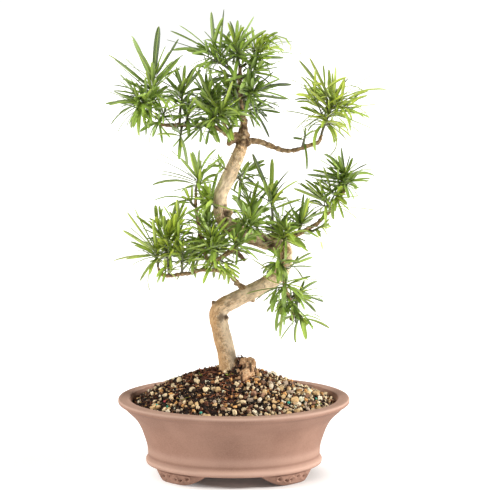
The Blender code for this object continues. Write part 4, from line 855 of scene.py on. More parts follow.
def raised(leaf, shoot, rng):
    """The leaf turned a little towards the stem's direction and the sky, or downwards on a hanging
    shoot, and narrower, with a bend of its own."""
    lift = 0.22 * stem_axes(shoot)[2] + np.array([0.0, 0.0, rng.uniform(0.0, 0.3)])
    if shoot.name in HANGING_SHOOTS:
        lift = np.array([0.0, -0.1, rng.uniform(-0.9, -0.3)])
    start = unit(leaf.start + lift + rng.normal(0.0, 0.2, 3))
    return leaf._replace(start=start, turn=drooping(start), bend=rng.uniform(-0.3, 2.1) * leaf.bend,
                         length=leaf.length * rng.uniform(*EXTRA_LENGTHS),
                         width=leaf.width * rng.uniform(*EXTRA_WIDTHS))


def spiral_leaves(shoot, count, clearance, rng, extra=False):
    """Leaves in a golden-angle spiral up the stem. Extra ones stand between the model's and are
    raised."""
    first, tries, growth = EXTRA_SPIRAL if extra else OWN_SPIRAL
    leaves = []
    turn_start = rng.uniform(0.0, 2.0 * math.pi)
    for k in range(count):
        for attempt in range(tries):
            wobble = rng.uniform(-1.0, 1.0, 5)
            azimuth = turn_start + GOLDEN_ANGLE * k
            leaf = spiral_leaf(shoot, (k + first) / count, azimuth, growth * attempt, wobble)
            leaf = raised(leaf, shoot, rng) if extra else leaf
            if clearance.free(shoot, leaf):
                clearance.add(shoot, leaf)
                leaves.append(leaf)
                break
    return leaves


def grow_leaves():
    """All leaves of all shoots: first those with chosen tips, then the spirals."""
    clearance = Clearance()
    grown = {}
    for k, shoot in enumerate(SHOOTS):
        grown[shoot.name] = tipped_leaves(shoot, clearance, np.random.default_rng(100 + k))
    for k, shoot in enumerate(SHOOTS):
        missing = max(0, shoot.count - len(grown[shoot.name]))
        grown[shoot.name] += spiral_leaves(shoot, missing, clearance, np.random.default_rng(200 + k))
    return grown


def linear(hex_colour):
    """An sRGB hex colour as linear red, green, blue and a full alpha."""
    values = np.array([int(hex_colour[k:k + 2], 16) for k in (1, 3, 5)]) / 255.0
    bright = ((values + 0.055) / 1.055) ** 2.4
    return (*np.where(values <= 0.04045, values / 12.92, bright).tolist(), 1.0)


def add_node(material, kind, settings=None, output=0, **inputs):
    """Adds a node to a material or world, with its settings by name and, for each input by name or by
    its number after an i, a value or a socket to link. Gives one of its outputs."""
    tree = material.node_tree
    node = tree.nodes.new("ShaderNode" + kind)
    for name, value in (settings or {}).items():
        setattr(node, name, value)
    for name, value in inputs.items():
        socket = node.inputs[int(name[1:]) if name[0] == "i" else name]
        if isinstance(value, bpy.types.NodeSocket):
            tree.links.new(value, socket)
        else:
            socket.default_value = value
    return node.outputs[output]


def tint(material, colour, target, share, amount=None, low=0.0, high=1.0):
    """A colour drawn towards another by a share: a socket, or the name of a value that the mesh keeps.
    With an amount, the share's way from low to high gives 0 to that amount."""
    if isinstance(share, str):
        share = add_node(material, "Attribute", {"attribute_name": share}, "Fac")
    if amount is not None:
        share = add_node(material, "MapRange", i0=share, i1=low, i2=high, i4=amount)
    first, second = (linear(tone) if isinstance(tone, str) else tone for tone in (colour, target))
    return add_node(material, "Mix", {"data_type": "RGBA"}, 2, i0=share, i6=first, i7=second)


def patches(material, place, size_mm, detail=3.0, roughness=0.55, levels=None):
    """Noise whose lumps are about the given size in millimetres, spread between two levels if given."""
    value = add_node(material, "TexNoise", {"noise_dimensions": "3D"}, "Fac", Vector=place,
                     Scale=1.0 / (size_mm * MM), Detail=detail, Roughness=roughness)
    return add_node(material, "MapRange", i0=value, i1=levels[0], i2=levels[1]) if levels else value


def bare_material(name, roughness, specular=0.5):
    """A material with one Principled shader, the shader itself and the place on the object."""
    material = bpy.data.materials.new(name)
    material.use_nodes = True
    shader = material.node_tree.nodes["Principled BSDF"]
    shader.inputs["Roughness"].default_value = roughness
    shader.inputs["Specular IOR Level"].default_value = specular
    return material, shader, add_node(material, "TexCoord", output="Object")


def surface(material, shader, colour, roughness=None, height=None, depth_mm=0.1):
    """Links colour, roughness and a bump of the given depth to the shader."""
    links = material.node_tree.links
    links.new(colour, shader.inputs["Base Color"])
    if roughness is not None:
        links.new(roughness, shader.inputs["Roughness"])
    if height is not None:
        bump = add_node(material, "Bump", Height=height, Distance=depth_mm * MM)
        links.new(bump, shader.inputs["Normal"])
    return material


def put_object(name, data):
    """A new object of the scene with the given data."""
    obj = bpy.data.objects.new(name, data)
    bpy.context.scene.collection.objects.link(obj)
    return obj


def put_mesh(name, points, faces, material, values=None, corner_values=None, crease=40.0):
    """An object from points in millimetres and arrays of faces. Named values are kept with its points
    or its face corners."""
    mesh = bpy.data.meshes.new(name)
    mesh.vertices.add(len(points))
    move_points(mesh, points)
    corners = np.concatenate([part.ravel() for part in faces]).astype(np.int32)
    counts = np.concatenate([np.full(len(part), part.shape[1]) for part in faces])
    mesh.loops.add(len(corners))
    mesh.loops.foreach_set("vertex_index", corners)
    mesh.polygons.add(len(counts))
    mesh.polygons.foreach_set("loop_start", (np.cumsum(counts) - counts).astype(np.int32))
    mesh.update(calc_edges=True)
    for named, domain in ((values or {}, "POINT"), (corner_values or {}, "CORNER")):
        for key, value in named.items():
            store(mesh, key, value, domain)
    mesh.shade_smooth()
    mesh.set_sharp_from_angle(angle=math.radians(crease))
    mesh.materials.append(material)
    obj = put_object(name, mesh)
    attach(obj, "root")
    return obj


def store(mesh, key, value, domain):
    """Keeps numbers, vectors or colours with a mesh under a name."""
    kind, field = {1: ("FLOAT", "value"), 3: ("FLOAT_VECTOR", "vector"),
                   4: ("FLOAT_COLOR", "color")}[1 if value.ndim == 1 else value.shape[1]]
    attribute = mesh.attributes.new(key, kind, domain)
    attribute.data.foreach_set(field, np.ascontiguousarray(value, np.float32).ravel())


def mesh_vectors(mesh, field):
    """A mesh's points or normals as an array."""
    values = np.empty(len(mesh.vertices) * 3, np.float32)
    mesh.vertices.foreach_get(field, values)
    return values.reshape(-1, 3).astype(float)


def move_points(mesh, points):
    """Puts a mesh's points at places in millimetres."""
    mesh.vertices.foreach_set("co", np.ascontiguousarray(points * MM, np.float32).ravel())


def grid_quads(rows, columns, wrap=True):
    """Faces between neighbouring rows of a grid of points, closed round each row when wrapped."""
    across = np.arange(columns if wrap else columns - 1)
    first = (np.arange(rows - 1)[:, None] * columns + across).ravel()
    second = (np.arange(rows - 1)[:, None] * columns + (across + 1) % columns).ravel()
    return np.column_stack([first, second, second + columns, first + columns])


def closed_skin(rings, start, end):
    """A closed skin over rings of equal count with a fan to one point at each end, facing outwards:
    the sign of the volume under all its triangles tells which way round they go."""
    count, sides = rings.shape[:2]
    points = np.vstack([rings.reshape(-1, 3), start, end])
    quads = grid_quads(count, sides)
    around = np.arange(sides)
    after = (around + 1) % sides
    top = (count - 1) * sides
    fans = np.vstack([np.column_stack([np.full(sides, count * sides), after, around]),
                      np.column_stack([np.full(sides, count * sides + 1), top + around, top + after])])
    triangles = np.vstack([quads[:, :3], quads[:, [0, 2, 3]], fans])
    a, b, c = points[triangles[:, 0]], points[triangles[:, 1]], points[triangles[:, 2]]
    if np.einsum("ij,ij->", a, np.cross(b, c)) < 0.0:
        quads, fans = quads[:, ::-1], fans[:, ::-1]
    return points, quads, fans


def merged(shells):
    """Several skins as one list of points, quads and triangles."""
    points, quads, fans, start = [], [], [], 0
    for shell in shells:
        points.append(shell[0])
        quads.append(shell[1] + start)
        fans.append(shell[2] + start)
        start += len(shell[0])
    return np.vstack(points), np.vstack(quads), np.vstack(fans)


def lattice(cell, seed):
    """A repeatable number from 0 to 1 for each whole-numbered place, from its scrambled digits."""
    mixed = cell[:, 0] * 73856093 ^ cell[:, 1] * 19349663 ^ cell[:, 2] * 83492791 ^ seed * 668265263
    mixed = (mixed ^ mixed >> 13) * 1274126177 & 0x7FFFFFFF
    mixed = (mixed ^ mixed >> 15) * 1103515245 & 0x7FFFFFFF
    return (mixed >> 7 & 0xFFFF) / 65535.0


def bell(distance, reach):
    """A bell curve: e to the power of minus the square of a distance in reaches."""
    return np.exp(-(distance / reach) ** 2)


def lumps(points, size, seed):
    """Smooth lumps from -1 to 1: numbers on a lattice a size apart, blended by 3t^2 - 2t^3."""
    scaled = points / size
    cell = np.floor(scaled).astype(np.int64)
    t = scaled - cell
    t = t * t * (3.0 - 2.0 * t)
    total = np.zeros(len(points))
    for corner in np.ndindex(2, 2, 2):
        weight = np.prod(np.where(np.array(corner) == 1, t, 1.0 - t), axis=1)
        total += weight * lattice(cell + np.array(corner), seed)
    return 2.0 * total - 1.0


def oval_points(offset, z, scale=1.0):
    """Points round the pot's oval: x and y are the half axes, each with the offset added, times the
    cosine and sine of the angle."""
    angles = np.linspace(0.0, 2.0 * math.pi, POT_SEGMENTS, endpoint=False)
    offset, z, scale = (np.asarray(value, float)[:, None] for value in (offset, z, scale))
    x = POT_X + scale * (POT_HALF_LENGTH + offset) * np.cos(angles)
    y = scale * (POT_HALF_DEPTH + offset) * np.sin(angles)
    return np.stack([x, y, z + 0.0 * x], axis=2)


def pot_wall():
    """The pot's skin: its section is a smooth curve through the profile's points, carried round the
    oval, and rings that shrink to a point close the underside and the floor."""
    section = smooth_rows(POT_PROFILE, POT_STEP)
    shrink = np.linspace(*POT_CAP_SHARES)
    first, last = (np.repeat([end], len(shrink), axis=0).T for end in section[[0, -1]])
    rings = np.vstack([
        oval_points(*first, shrink),
        oval_points(section[:, 0], section[:, 1], np.ones(len(section))),
        oval_points(*last, shrink[::-1]),
    ])
    flat = rings.reshape(-1, 3)
    uneven = 0.16 * lumps(flat, 34.0, 1) + 0.05 * lumps(flat, 7.0, 2)
    outward = flat - np.array([POT_X, 0.0, 55.0])
    outward[:, 2] = 0.0
    outward /= np.maximum(np.linalg.norm(outward, axis=1), 30.0)[:, None]
    rings = (flat + outward * uneven[:, None]).reshape(rings.shape)
    return closed_skin(rings, np.array([POT_X, 0.0, UNDERSIDE_Z]), np.array([POT_X, 0.0, FLOOR_Z]))


def scroll_relief(along, height):
    """Relief of a foot's outer face: each scroll is a ring of cosine section, open on one side, with
    a small hole, and a soft bead runs under them."""
    relief = 0.5 * bell(height - 2.4, 1.2)
    for place, middle, radius, opening, hole in FOOT_SCROLLS:
        u, v = along - place, height - middle
        away = np.hypot(u, v)
        open_side = 0.5 - 0.5 * np.cos(np.arctan2(v, u) - opening)
        relief += 1.3 * bell(away - radius, 0.9) * open_side ** 0.5
        relief -= 2.8 * np.exp(-(away / hole) ** 4)
    return relief


def even_section():
    """A rounded rectangle from 0 to 1 both ways, from powers of cosine and sine, as points that are
    evenly spaced along its outline."""
    turn = np.linspace(0.0, 2.0 * math.pi, 721)
    depth = 0.5 + 0.5 * np.sign(np.cos(turn)) * np.abs(np.cos(turn)) ** FOOT_ROUNDING
    level = 0.5 + 0.5 * np.sign(np.sin(turn)) * np.abs(np.sin(turn)) ** FOOT_ROUNDING
    way = np.concatenate([[0.0], np.cumsum(np.hypot(np.diff(depth), np.diff(level)))])
    even = np.linspace(0.0, way[-1], FOOT_SIDES, endpoint=False)
    return np.interp(even, way, depth)[None, :], np.interp(even, way, level)[None, :]


def foot_skin(corner):
    """One foot: a rounded section, its corners from powers of sine and cosine, carried along the oval.
    It leans inward, curls up at both ends and has the scrolls on its outer face."""
    middle = math.radians(sum(FOOT_ANGLES) / 2.0)
    half = math.radians((FOOT_ANGLES[1] - FOOT_ANGLES[0]) / 2.0)
    t = np.linspace(-1.0, 1.0, FOOT_STATIONS)[:, None]
    depth, level = even_section()
    inner = (t > 0.0) * 1
    flat, power = np.array(FOOT_FLAT_SHARES)[inner], np.array(FOOT_CURL_POWERS)[inner]
    curl = np.maximum(0.0, (np.abs(t) - flat) / (1.0 - flat)) ** power
    low = curl * FOOT_END_RISE
    high = UNDERSIDE_Z + FOOT_SINK
    z = low + (high - low) * level
    inward = FOOT_WIDTH * (1.0 - FOOT_END_TAPER * curl)
    outer = (FOOT_BULGE * (1.0 - curl) * 4.0 * level * (1.0 - level) - FOOT_LEAN * (1.0 - level) ** 2)
    offset = FOOT_OUTER_OFFSET + (depth - 1.0) * inward + depth * outer
    face = np.clip((depth - 0.8) / 0.15, 0.0, 1.0) * np.clip((z - low) / 2.5, 0.0, 1.0)
    along = t * half * FOOT_RADIUS
    offset = offset + face * scroll_relief(along + 0.0 * z, z) * (1.0 - 0.6 * curl)
    angle = middle + half * t
    x = (POT_HALF_LENGTH + offset) * np.cos(angle) * corner[0] + POT_X
    y = (POT_HALF_DEPTH + offset) * np.sin(angle) * corner[1]
    rings = np.stack([x, y, z + 0.0 * x], axis=2)
    return closed_skin(rings, rings[0].mean(axis=0), rings[-1].mean(axis=0))


def drill_holes(pot):
    """Cuts the two drain holes straight through the floor with round drills."""
    turn = np.linspace(0.0, 2.0 * math.pi, DRILL_SIDES, endpoint=False)
    y = DRAIN_HOLE_DIAMETER / 2.0 * np.sin(turn)
    for side in (-0.5, 0.5):
        x = POT_X + side * DRAIN_HOLE_SPACING + DRAIN_HOLE_DIAMETER / 2.0 * np.cos(turn)
        rings = np.stack([np.column_stack([x, y, np.full(DRILL_SIDES, z)])
                          for z in (UNDERSIDE_Z - DRILL_REACH, FLOOR_Z + DRILL_REACH)])
        points, quads, fans = closed_skin(rings, rings[0].mean(axis=0), rings[1].mean(axis=0))
        mesh = bpy.data.meshes.new("drill")
        mesh.from_pydata((points * MM).tolist(), [], quads.tolist() + fans.tolist())
        drill = put_object("drill", mesh)
        cut = pot.modifiers.new("hole", "BOOLEAN")
        cut.operation, cut.solver, cut.object = "DIFFERENCE", "EXACT", drill
        bpy.context.view_layer.objects.active = pot
        bpy.ops.object.modifier_apply(modifier=cut.name)
        bpy.data.objects.remove(drill, do_unlink=True)


def outer_wall(points):
    """Whether points lie on the wall's outer side, at most 36 mm in from the oval of the lip."""
    radius = np.hypot(points[:, 0] - POT_X, points[:, 1])
    outside = np.hypot((points[:, 0] - POT_X) / POT_HALF_LENGTH, points[:, 1] / POT_HALF_DEPTH)
    return radius * (1.0 - 1.0 / np.maximum(outside, 0.01)) > -36.0


def wear_and_highlight_share(points):
    """How pale the clay is: partly worn and partly a painted highlight along the lip's two edges, a
    painted highlight on the crest of the band and painted light on the foot of the wall, which faces up."""
    outside = np.hypot((points[:, 0] - POT_X) / POT_HALF_LENGTH, points[:, 1] / POT_HALF_DEPTH)
    lip = bell(points[:, 2] - 86.6, 1.6) * (outside > 0.9)
    # The band's crest and the foot of the wall face up: a painted highlight and painted light
    band = bell(points[:, 2] - 19.0, 3.0) * outer_wall(points)
    low_wall = 0.4 * bell(points[:, 2] - 30.0, 5.0) * outer_wall(points)
    return np.clip(lip + band + low_wall, 0.0, 1.0)


def crease_shade_share(points):
    """Painted shade in the clay's creases: above the band, under it and under the lip's edge."""
    total = np.zeros(len(points))
    for height, reach, share in POT_CREASE_SHADES:
        total += share * bell(points[:, 2] - height, reach) * outer_wall(points)
    return np.clip(total, 0.0, 1.0)


def fired_clay(colours):
    """Unglazed stoneware, slip cast and fired: matt, with fine grit and faint cloudy stains, pale edges
    that are partly worn and partly a painted highlight, and painted shade in the creases."""
    material, shader, place = bare_material("unglazed_stoneware", 0.78, 0.35)
    cloud = patches(material, place, 38.0, 4.0, levels=(0.35, 0.65))
    grit = patches(material, place, 0.9, 2.0, 0.7, (0.4, 0.62))
    specks = patches(material, place, 1.6, 1.0, levels=(0.66, 0.74))
    colour = tint(material, (*colours.clay_shade, 1.0), (*colours.clay, 1.0), cloud)
    # Grit and specks, then pale edges, partly worn and partly a painted highlight, and painted shade in
    # the creases
    for share, amount, shade in ((grit, 0.3, "#AC8877"), (specks, 0.35, "#7C5647"),
                                 ("rub", 0.6, "#D3B1A0"), ("crease", 0.6, "#6B493B")):
        colour = tint(material, colour, shade, share, amount)
    matt = add_node(material, "MapRange", i0=cloud, i3=0.72, i4=0.85)
    return surface(material, shader, colour, matt, patches(material, place, 0.8, 4.0, 0.65), 0.25)


def soil_rings():
    """Rings of the soil's skin: up the pot's inner wall, then inward over the mound."""
    inner = POT_PROFILE[POT_PROFILE.index(INNER_LIP):]
    offsets, heights = zip(*reversed(inner))
    levels = np.linspace(SOIL_BOTTOM_Z, SOIL_EDGE_Z, SOIL_SIDE_RINGS)
    sides = oval_points(np.interp(levels, heights, offsets) - SOIL_INSET, levels,
                        np.ones(SOIL_SIDE_RINGS))
    centre = np.array([*SOIL_TOP_CENTRE, 0.0])
    shares = np.linspace(1.0, 0.0, SOIL_RING_COUNT + 1)[1:-1]
    points = centre + (sides[-1] * [1.0, 1.0, 0.0] - centre) * shares[:, None, None]
    points[:, :, 2] = soil_height(points[:, :, 0], points[:, :, 1], shares[:, None])
    return np.vstack([sides, points])


def build_soil_skin(material):
    """Peat and bark crumbs as a rough skin over the mound: two sizes of lumps push it up and down."""
    rings = soil_rings()
    flat = rings.reshape(-1, 3)
    rough = 0.9 * lumps(flat, 2.1, 11) + 0.9 * lumps(flat, 4.7, 12) + 0.35 * lumps(flat, 1.1, 13)
    rough += crown_of_soil(flat[:, 0], flat[:, 1]) - SOIL_SUNK
    top = np.repeat(np.arange(len(rings)) >= SOIL_SIDE_RINGS, POT_SEGMENTS)
    flat = flat + np.outer(rough * top, [0.0, 0.0, 1.0])
    peak = np.array([*SOIL_TOP_CENTRE, SOIL_EDGE_Z + SOIL_RISE])
    foot = np.array([POT_X, 0.0, SOIL_BOTTOM_Z])
    points, quads, fans = closed_skin(flat.reshape(rings.shape), foot, peak)
    obj = put_mesh("potting_soil", points, [quads, fans], material)
    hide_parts("soil")


def crown_of_soil(x, y):
    """Extra height of the crumbs banked up in the crook between the trunk and the surface root, and
    a hollow on the right."""
    bank = 8.5 * np.exp(-(((x + 7.0) / 7.5) ** 2 + ((y + 7.0) / 7.0) ** 2))
    return bank - 4.6 * np.exp(-(((x - 44.0) / 30.0) ** 2 + ((y - 10.0) / 30.0) ** 2))


def mound_spots(rng, count, density):
    """Random places on the mound, kept by a density."""
    angle = rng.uniform(0.0, 2.0 * math.pi, count)
    share = np.sqrt(rng.uniform(0.0, 0.97, count))
    out = (POT_HALF_LENGTH + SOIL_EDGE_OFFSET) * np.cos(angle)
    x = SOIL_TOP_CENTRE[0] + share * (POT_X + out - SOIL_TOP_CENTRE[0])
    out = (POT_HALF_DEPTH + SOIL_EDGE_OFFSET) * np.sin(angle)
    y = SOIL_TOP_CENTRE[1] + share * (out - SOIL_TOP_CENTRE[1])
    kept = rng.uniform(0.0, 1.0, count) < density(x, y)
    x, y, share = x[kept], y[kept], share[kept]
    z = soil_height(x, y, share) + crown_of_soil(x, y) - SOIL_SUNK
    return np.column_stack([x, y, z])


def pale_density(x, y):
    """Pale granules crowd the right and the front, and are few round the trunk."""
    trunk_side = np.exp(-((x + 22.0) ** 2 / 1500.0 + (y + 2.0) ** 2 / 1300.0))
    heap = np.exp(-((x - 52.0) ** 2 / 2200.0 + (y + 35.0) ** 2 / 1500.0))
    bank = np.exp(-((x + 98.0) ** 2 / 500.0))
    patch = lumps(np.column_stack([x, y, np.zeros(len(x))]), 9.0, 15)
    share = 0.17 + 0.0045 * x - 0.003 * y - 0.3 * trunk_side + 0.6 * heap + 0.45 * bank + 0.4 * patch
    return np.clip(share, 0.02, 1.0)


def even_density(x, y):
    """The same share everywhere."""
    return np.ones(len(x))


def shred_density(x, y):
    """Red-brown shreds of bark lie round the trunk."""
    return np.clip(0.12 + 1.2 * np.exp(-((x + 18.0) ** 2 + (y + 12.0) ** 2) / 1500.0), 0.0, 1.0)


def spaced(spots, sizes, closeness):
    """Keeps the spots that stand a share of their sizes away from those kept before."""
    kept = []
    taken, widths = np.empty((0, 2)), np.empty(0)
    for k, (spot, size) in enumerate(zip(spots, sizes)):
        gaps = np.linalg.norm(taken - spot[:2], axis=1)
        if len(gaps) == 0 or np.all(gaps > closeness * (widths + size) / 2.0):
            kept.append(k)
            taken = np.vstack([taken, spot[:2]])
            widths = np.append(widths, size)
    return np.array(kept)


def turned(rng, count, tilt):
    """Random rotation matrices: a full turn about the vertical after a tilt up to the given angle."""
    spin, lean, lead = (rng.uniform(-1.0, 1.0, count) for _ in range(3))
    spin, lean, lead = spin * math.pi, lean * tilt, lead * tilt
    zero, one = np.zeros(count), np.ones(count)
    about_z = np.array([[np.cos(spin), -np.sin(spin), zero], [np.sin(spin), np.cos(spin), zero],
                        [zero, zero, one]])
    about_x = np.array([[one, zero, zero], [zero, np.cos(lean), -np.sin(lean)],
                        [zero, np.sin(lean), np.cos(lean)]])
    about_y = np.array([[np.cos(lead), zero, np.sin(lead)], [zero, one, zero],
                        [-np.sin(lead), zero, np.cos(lead)]])
    return np.einsum("ijn,jkn,kln->nil", about_z, about_x, about_y)


def scattered(base, spots, sizes, turns, rough, rng):
    """Copies of a small closed shape: each is scaled on three axes, roughened, turned and moved."""
    points, quads, fans = base
    wobble = 1.0 + rough * rng.uniform(-1.0, 1.0, (len(spots), len(points), 1))
    shaped = points[None] * wobble * sizes[:, None, :] / 2.0
    placed = np.einsum("nij,nkj->nki", turns, shaped) + spots[:, None, :]
    shift = (np.arange(len(spots)) * len(points))[:, None, None]
    return (placed.reshape(-1, 3), (quads[None] + shift).reshape(-1, 4),
            (fans[None] + shift).reshape(-1, 3))


def pebble(rows, sides, squareness):
    """A unit pebble: a ball whose sines and cosines are raised to a power, so that it is blocky."""
    lift = np.linspace(-0.5, 0.5, rows + 2)[1:-1, None] * math.pi
    turn = np.linspace(0.0, 2.0 * math.pi, sides, endpoint=False)[None, :]
    power = squareness
    ring = np.abs(np.cos(lift)) ** power
    x = ring * np.sign(np.cos(turn)) * np.abs(np.cos(turn)) ** power
    y = ring * np.sign(np.sin(turn)) * np.abs(np.sin(turn)) ** power
    z = np.sign(np.sin(lift)) * np.abs(np.sin(lift)) ** power + 0.0 * x
    return closed_skin(np.stack([x, y, z], axis=2), np.array([0.0, 0.0, -1.0]), np.array([0.0, 0.0, 1.0]))


def picked_colours(rng, count, palette, weights, per_piece):
    """One colour of a palette for each piece, a little lighter or darker, repeated for its points."""
    table = np.array([linear(hex_colour)[:3] for hex_colour in palette])
    chosen = table[rng.choice(len(palette), count, p=np.array(weights) / sum(weights))]
    chosen = np.clip(chosen * rng.uniform(0.72, 1.25, (count, 1)), 0.0, 1.0)
    return np.repeat(np.column_stack([chosen, np.ones(count)]), per_piece, axis=0)


def mineral(name, roughness, mottle):
    """Crushed pumice, lava and clay granules: matt and porous, each of its own colour, with dust."""
    material, shader, place = bare_material(name, roughness, 0.3)
    own = add_node(material, "Attribute", {"attribute_name": "grain_colour"}, "Color")
    pores = patches(material, place, 0.9, 3.0, 0.7, (0.38, 0.6))
    share = add_node(material, "MapRange", i0=pores, i3=mottle, i4=0.0)
    colour = tint(material, own, "#2A1D15", share)
    return surface(material, shader, colour, None, patches(material, place, 0.7, 3.0, 0.7), 0.35)


def peat():
    """Moist peat and composted bark: near black, crumbly, with brown fibres and a dull sheen."""
    material, shader, place = bare_material("peat_and_bark_mix", 0.85, 0.3)
    crumbs = patches(material, place, 2.2, 4.0, 0.65, (0.35, 0.66))
    fibres = patches(material, place, 0.9, 2.0, levels=(0.56, 0.7))
    colour = tint(material, "#0E0907", "#2E1F16", crumbs)
    colour = tint(material, colour, "#6A4630", fibres, 0.6)
    return surface(material, shader, colour, None, patches(material, place, 0.8, 4.0, 0.7), 0.6)


# Layers of the loose mix: tries and most pieces, two even limits of width or a middle, a spread and
# two limits, gap kept between neighbours, lift, whether it grows with the width, limits and shares of
# the three axes, the unit shape, most tilt and roughness, colours, finish and its crease angle
Layer = namedtuple("Layer", "name density tries most widths gap lift sunk uneven axes shape tilt rough "
                            "palette shares finish crease")
LAYERS = [
    Layer("mineral_granules", pale_density, 9000, None, (3.2, 0.34, 2.0, 6.8), 0.84, (0.05, 0.34), True,
          (0.7, 1.28), (1.0, 0.92, 0.78), (3, 6, 0.72), 1.5, 0.38, PALE_GRAINS, PALE_SHARES,
          ("porous_mineral_granules", 0.85, 0.36), 22.0),
    Layer("bark_chips", even_density, 2600, None, (3.6, 0.35, 1.5, 6.5), None, (-0.2, 0.9), False,
          (0.6, 1.2), (1.25, 0.8, 0.38), (2, 5, 0.7), 0.7, 0.28, DARK_CHIPS, DARK_SHARES,
          ("composted_bark_chips", 0.8, 0.5), 30.0),
    Layer("bark_shreds", shred_density, 3800, 760, (5.0, 13.0), None, (0.6, 1.9), False,
          None, (1.0, 0.1, 0.07), (4, 5, 1.0), 0.45, 0.12, SHREDS, SHRED_SHARES,
          ("shredded_bark", 0.8, 0.3), 50.0),
    Layer("fine_grit", even_density, 5200, None, (0.9, 1.9), None, (0.4, 1.6), False,
          (0.7, 1.2), (1.0, 1.0, 1.0), (1, 4, 1.0), 1.5, 0.15, PALE_GRAINS + DARK_CHIPS,
          [1] * 7 + [2.4] * 5, ("mixed_grit", 0.85, 0.2), 30.0),
]


def grain_widths(rng, count, widths):
    """Widths even between two limits, or with logarithms spread as a bell curve round a middle one."""
    if len(widths) == 2:
        return rng.uniform(*widths, count)
    middle, share, low, high = widths
    return np.clip(np.exp(rng.normal(math.log(middle), share, count)), low, high)


def put_grains(name, material, shape, spots, axes, tilt, rough, crease, rng, colours=None):
    """Copies of a unit pebble as one piece, each turned, roughened and of its own colour."""
    base = pebble(*shape)
    shell = scattered(base, spots, axes, turned(rng, len(spots), tilt), rough, rng)
    values = colours and {"grain_colour": picked_colours(rng, len(spots), *colours, len(base[0]))}
    put_mesh(name, shell[0], shell[1:], material, values, None, crease)


def build_granules():
    """The loose mix on the mound, a layer at a time."""
    rng = np.random.default_rng(31)
    for layer in LAYERS:
        spots = mound_spots(rng, layer.tries, layer.density)[:layer.most]
        widths = grain_widths(rng, len(spots), layer.widths)
        if layer.gap:
            order = np.argsort(-widths)
            kept = order[spaced(spots[order], widths[order], layer.gap)]
            spots, widths = spots[kept], widths[kept]
        spots[:, 2] += rng.uniform(*layer.lift, len(spots)) * (widths if layer.sunk else 1.0)
        uneven = rng.uniform(*layer.uneven, (len(spots), 3)) if layer.uneven else 1.0
        axes = widths[:, None] * uneven * layer.axes
        put_grains(layer.name, mineral(*layer.finish), layer.shape, spots, axes, layer.tilt,
                   layer.rough, layer.crease, rng, (layer.palette, layer.shares))


def mound_share(x, y):
    """How far out a place on the mound is, from 0 at its top to 1 at its edge, found by trying shares
    of the way along the same line."""
    dx, dy = x - SOIL_TOP_CENTRE[0], y - SOIL_TOP_CENTRE[1]
    shares = np.linspace(0.01, 1.0, 400)
    ex = (SOIL_TOP_CENTRE[0] + dx / shares - POT_X) / (POT_HALF_LENGTH + SOIL_EDGE_OFFSET)
    ey = (SOIL_TOP_CENTRE[1] + dy / shares) / (POT_HALF_DEPTH + SOIL_EDGE_OFFSET)
    return float(shares[np.argmax(ex ** 2 + ey ** 2 <= 1.0)])


def on_mound(x, y, lift):
    """The place on the mound at x and y, raised by a lift."""
    return (x, y, float(soil_height(x, y, mound_share(x, y))) + lift - SOIL_SUNK)


def build_small_things():
    """Resin-coated prills, one red speck and tiny sprouts, each set on the mound."""
    rng = np.random.default_rng(57)
    resin, shader, place = bare_material("resin_coated_prill", 0.3, 0.5)
    surface(resin, shader, tint(resin, "#12796B", "#37B59C", patches(resin, place, 1.2)), None,
            patches(resin, place, 0.6), 0.1)
    red, shader, place = bare_material("red_dyed_grain", 0.5)
    surface(red, shader, tint(red, "#8E1626", "#C4364A", patches(red, place, 0.8)))
    for name, material, places, lift, width, rough in (
            ("fertiliser_prills", resin, PRILLS, 1.6, 3.1, 0.03),
            ("red_grain", red, [RED_SPECK], 1.2, 2.4, 0.1)):
        spots = np.array([on_mound(x, y, lift) for x, y in places])
        axes = np.full((len(spots), 3), width)
        put_grains(name, material, (5, 9, 1.0), spots, axes, 1.0, rough, 60.0, rng)
    blades = []
    for x, y, length in SPROUTS:
        for k in range(SPROUT_LEAVES):
            angle = SIDE_TURN * k + x
            start = unit(np.array([0.7 * math.cos(angle), 0.7 * math.sin(angle), 0.8]))
            turn = square_to(np.array([0.0, 0.0, -1.0]), start)
            reach = length * (0.7 + 0.15 * k)
            blades.append(Leaf(np.array(on_mound(x, y, 0.3)), start, turn, reach, 50.0, 0.0, 1.8))
    count = len(blades)
    sprouts = blades_object("tiny_sprouts", blades, [2.4] * count, [0.8] * count, [], leaf_skin(), rng)


def path_directions(centres):
    """Directions along a path, from the differences of its points."""
    tangents = np.gradient(centres, axis=0)
    return tangents / np.linalg.norm(tangents, axis=1)[:, None]


def path_lengths(centres):
    """The way along a path to each of its points."""
    return np.concatenate([[0.0], np.cumsum(np.linalg.norm(np.diff(centres, axis=0), axis=1))])


def swept(rows, sides, rough, seed):
    """A closed tube: rings of the rows' diameters stand square to the path, their first direction
    carried along it without twist, and lumps make them uneven."""
    centres, radii = rows[:, :3], rows[:, 3] / 2.0
    tangents = path_directions(centres)
    across = np.empty_like(centres)
    guide = np.array(GUIDE)
    for k, tangent in enumerate(tangents):
        guide = square_to(guide, tangent)
        across[k] = guide
    third = np.cross(tangents, across)
    turn = np.linspace(0.0, 2.0 * math.pi, sides, endpoint=False)
    outward = np.cos(turn)[None, :, None] * across[:, None] + np.sin(turn)[None, :, None] * third[:, None]
    rings = centres[:, None] + outward * radii[:, None, None]
    uneven = rough * lumps(rings.reshape(-1, 3), 9.0, seed).reshape(len(rows), sides, 1)
    rings = rings + outward * radii[:, None, None] * uneven
    caps = centres[[0, -1]] + tangents[[0, -1]] * (radii[[0, -1]] * [-0.4, 0.4])[:, None]
    return closed_skin(rings, caps[0], caps[1])


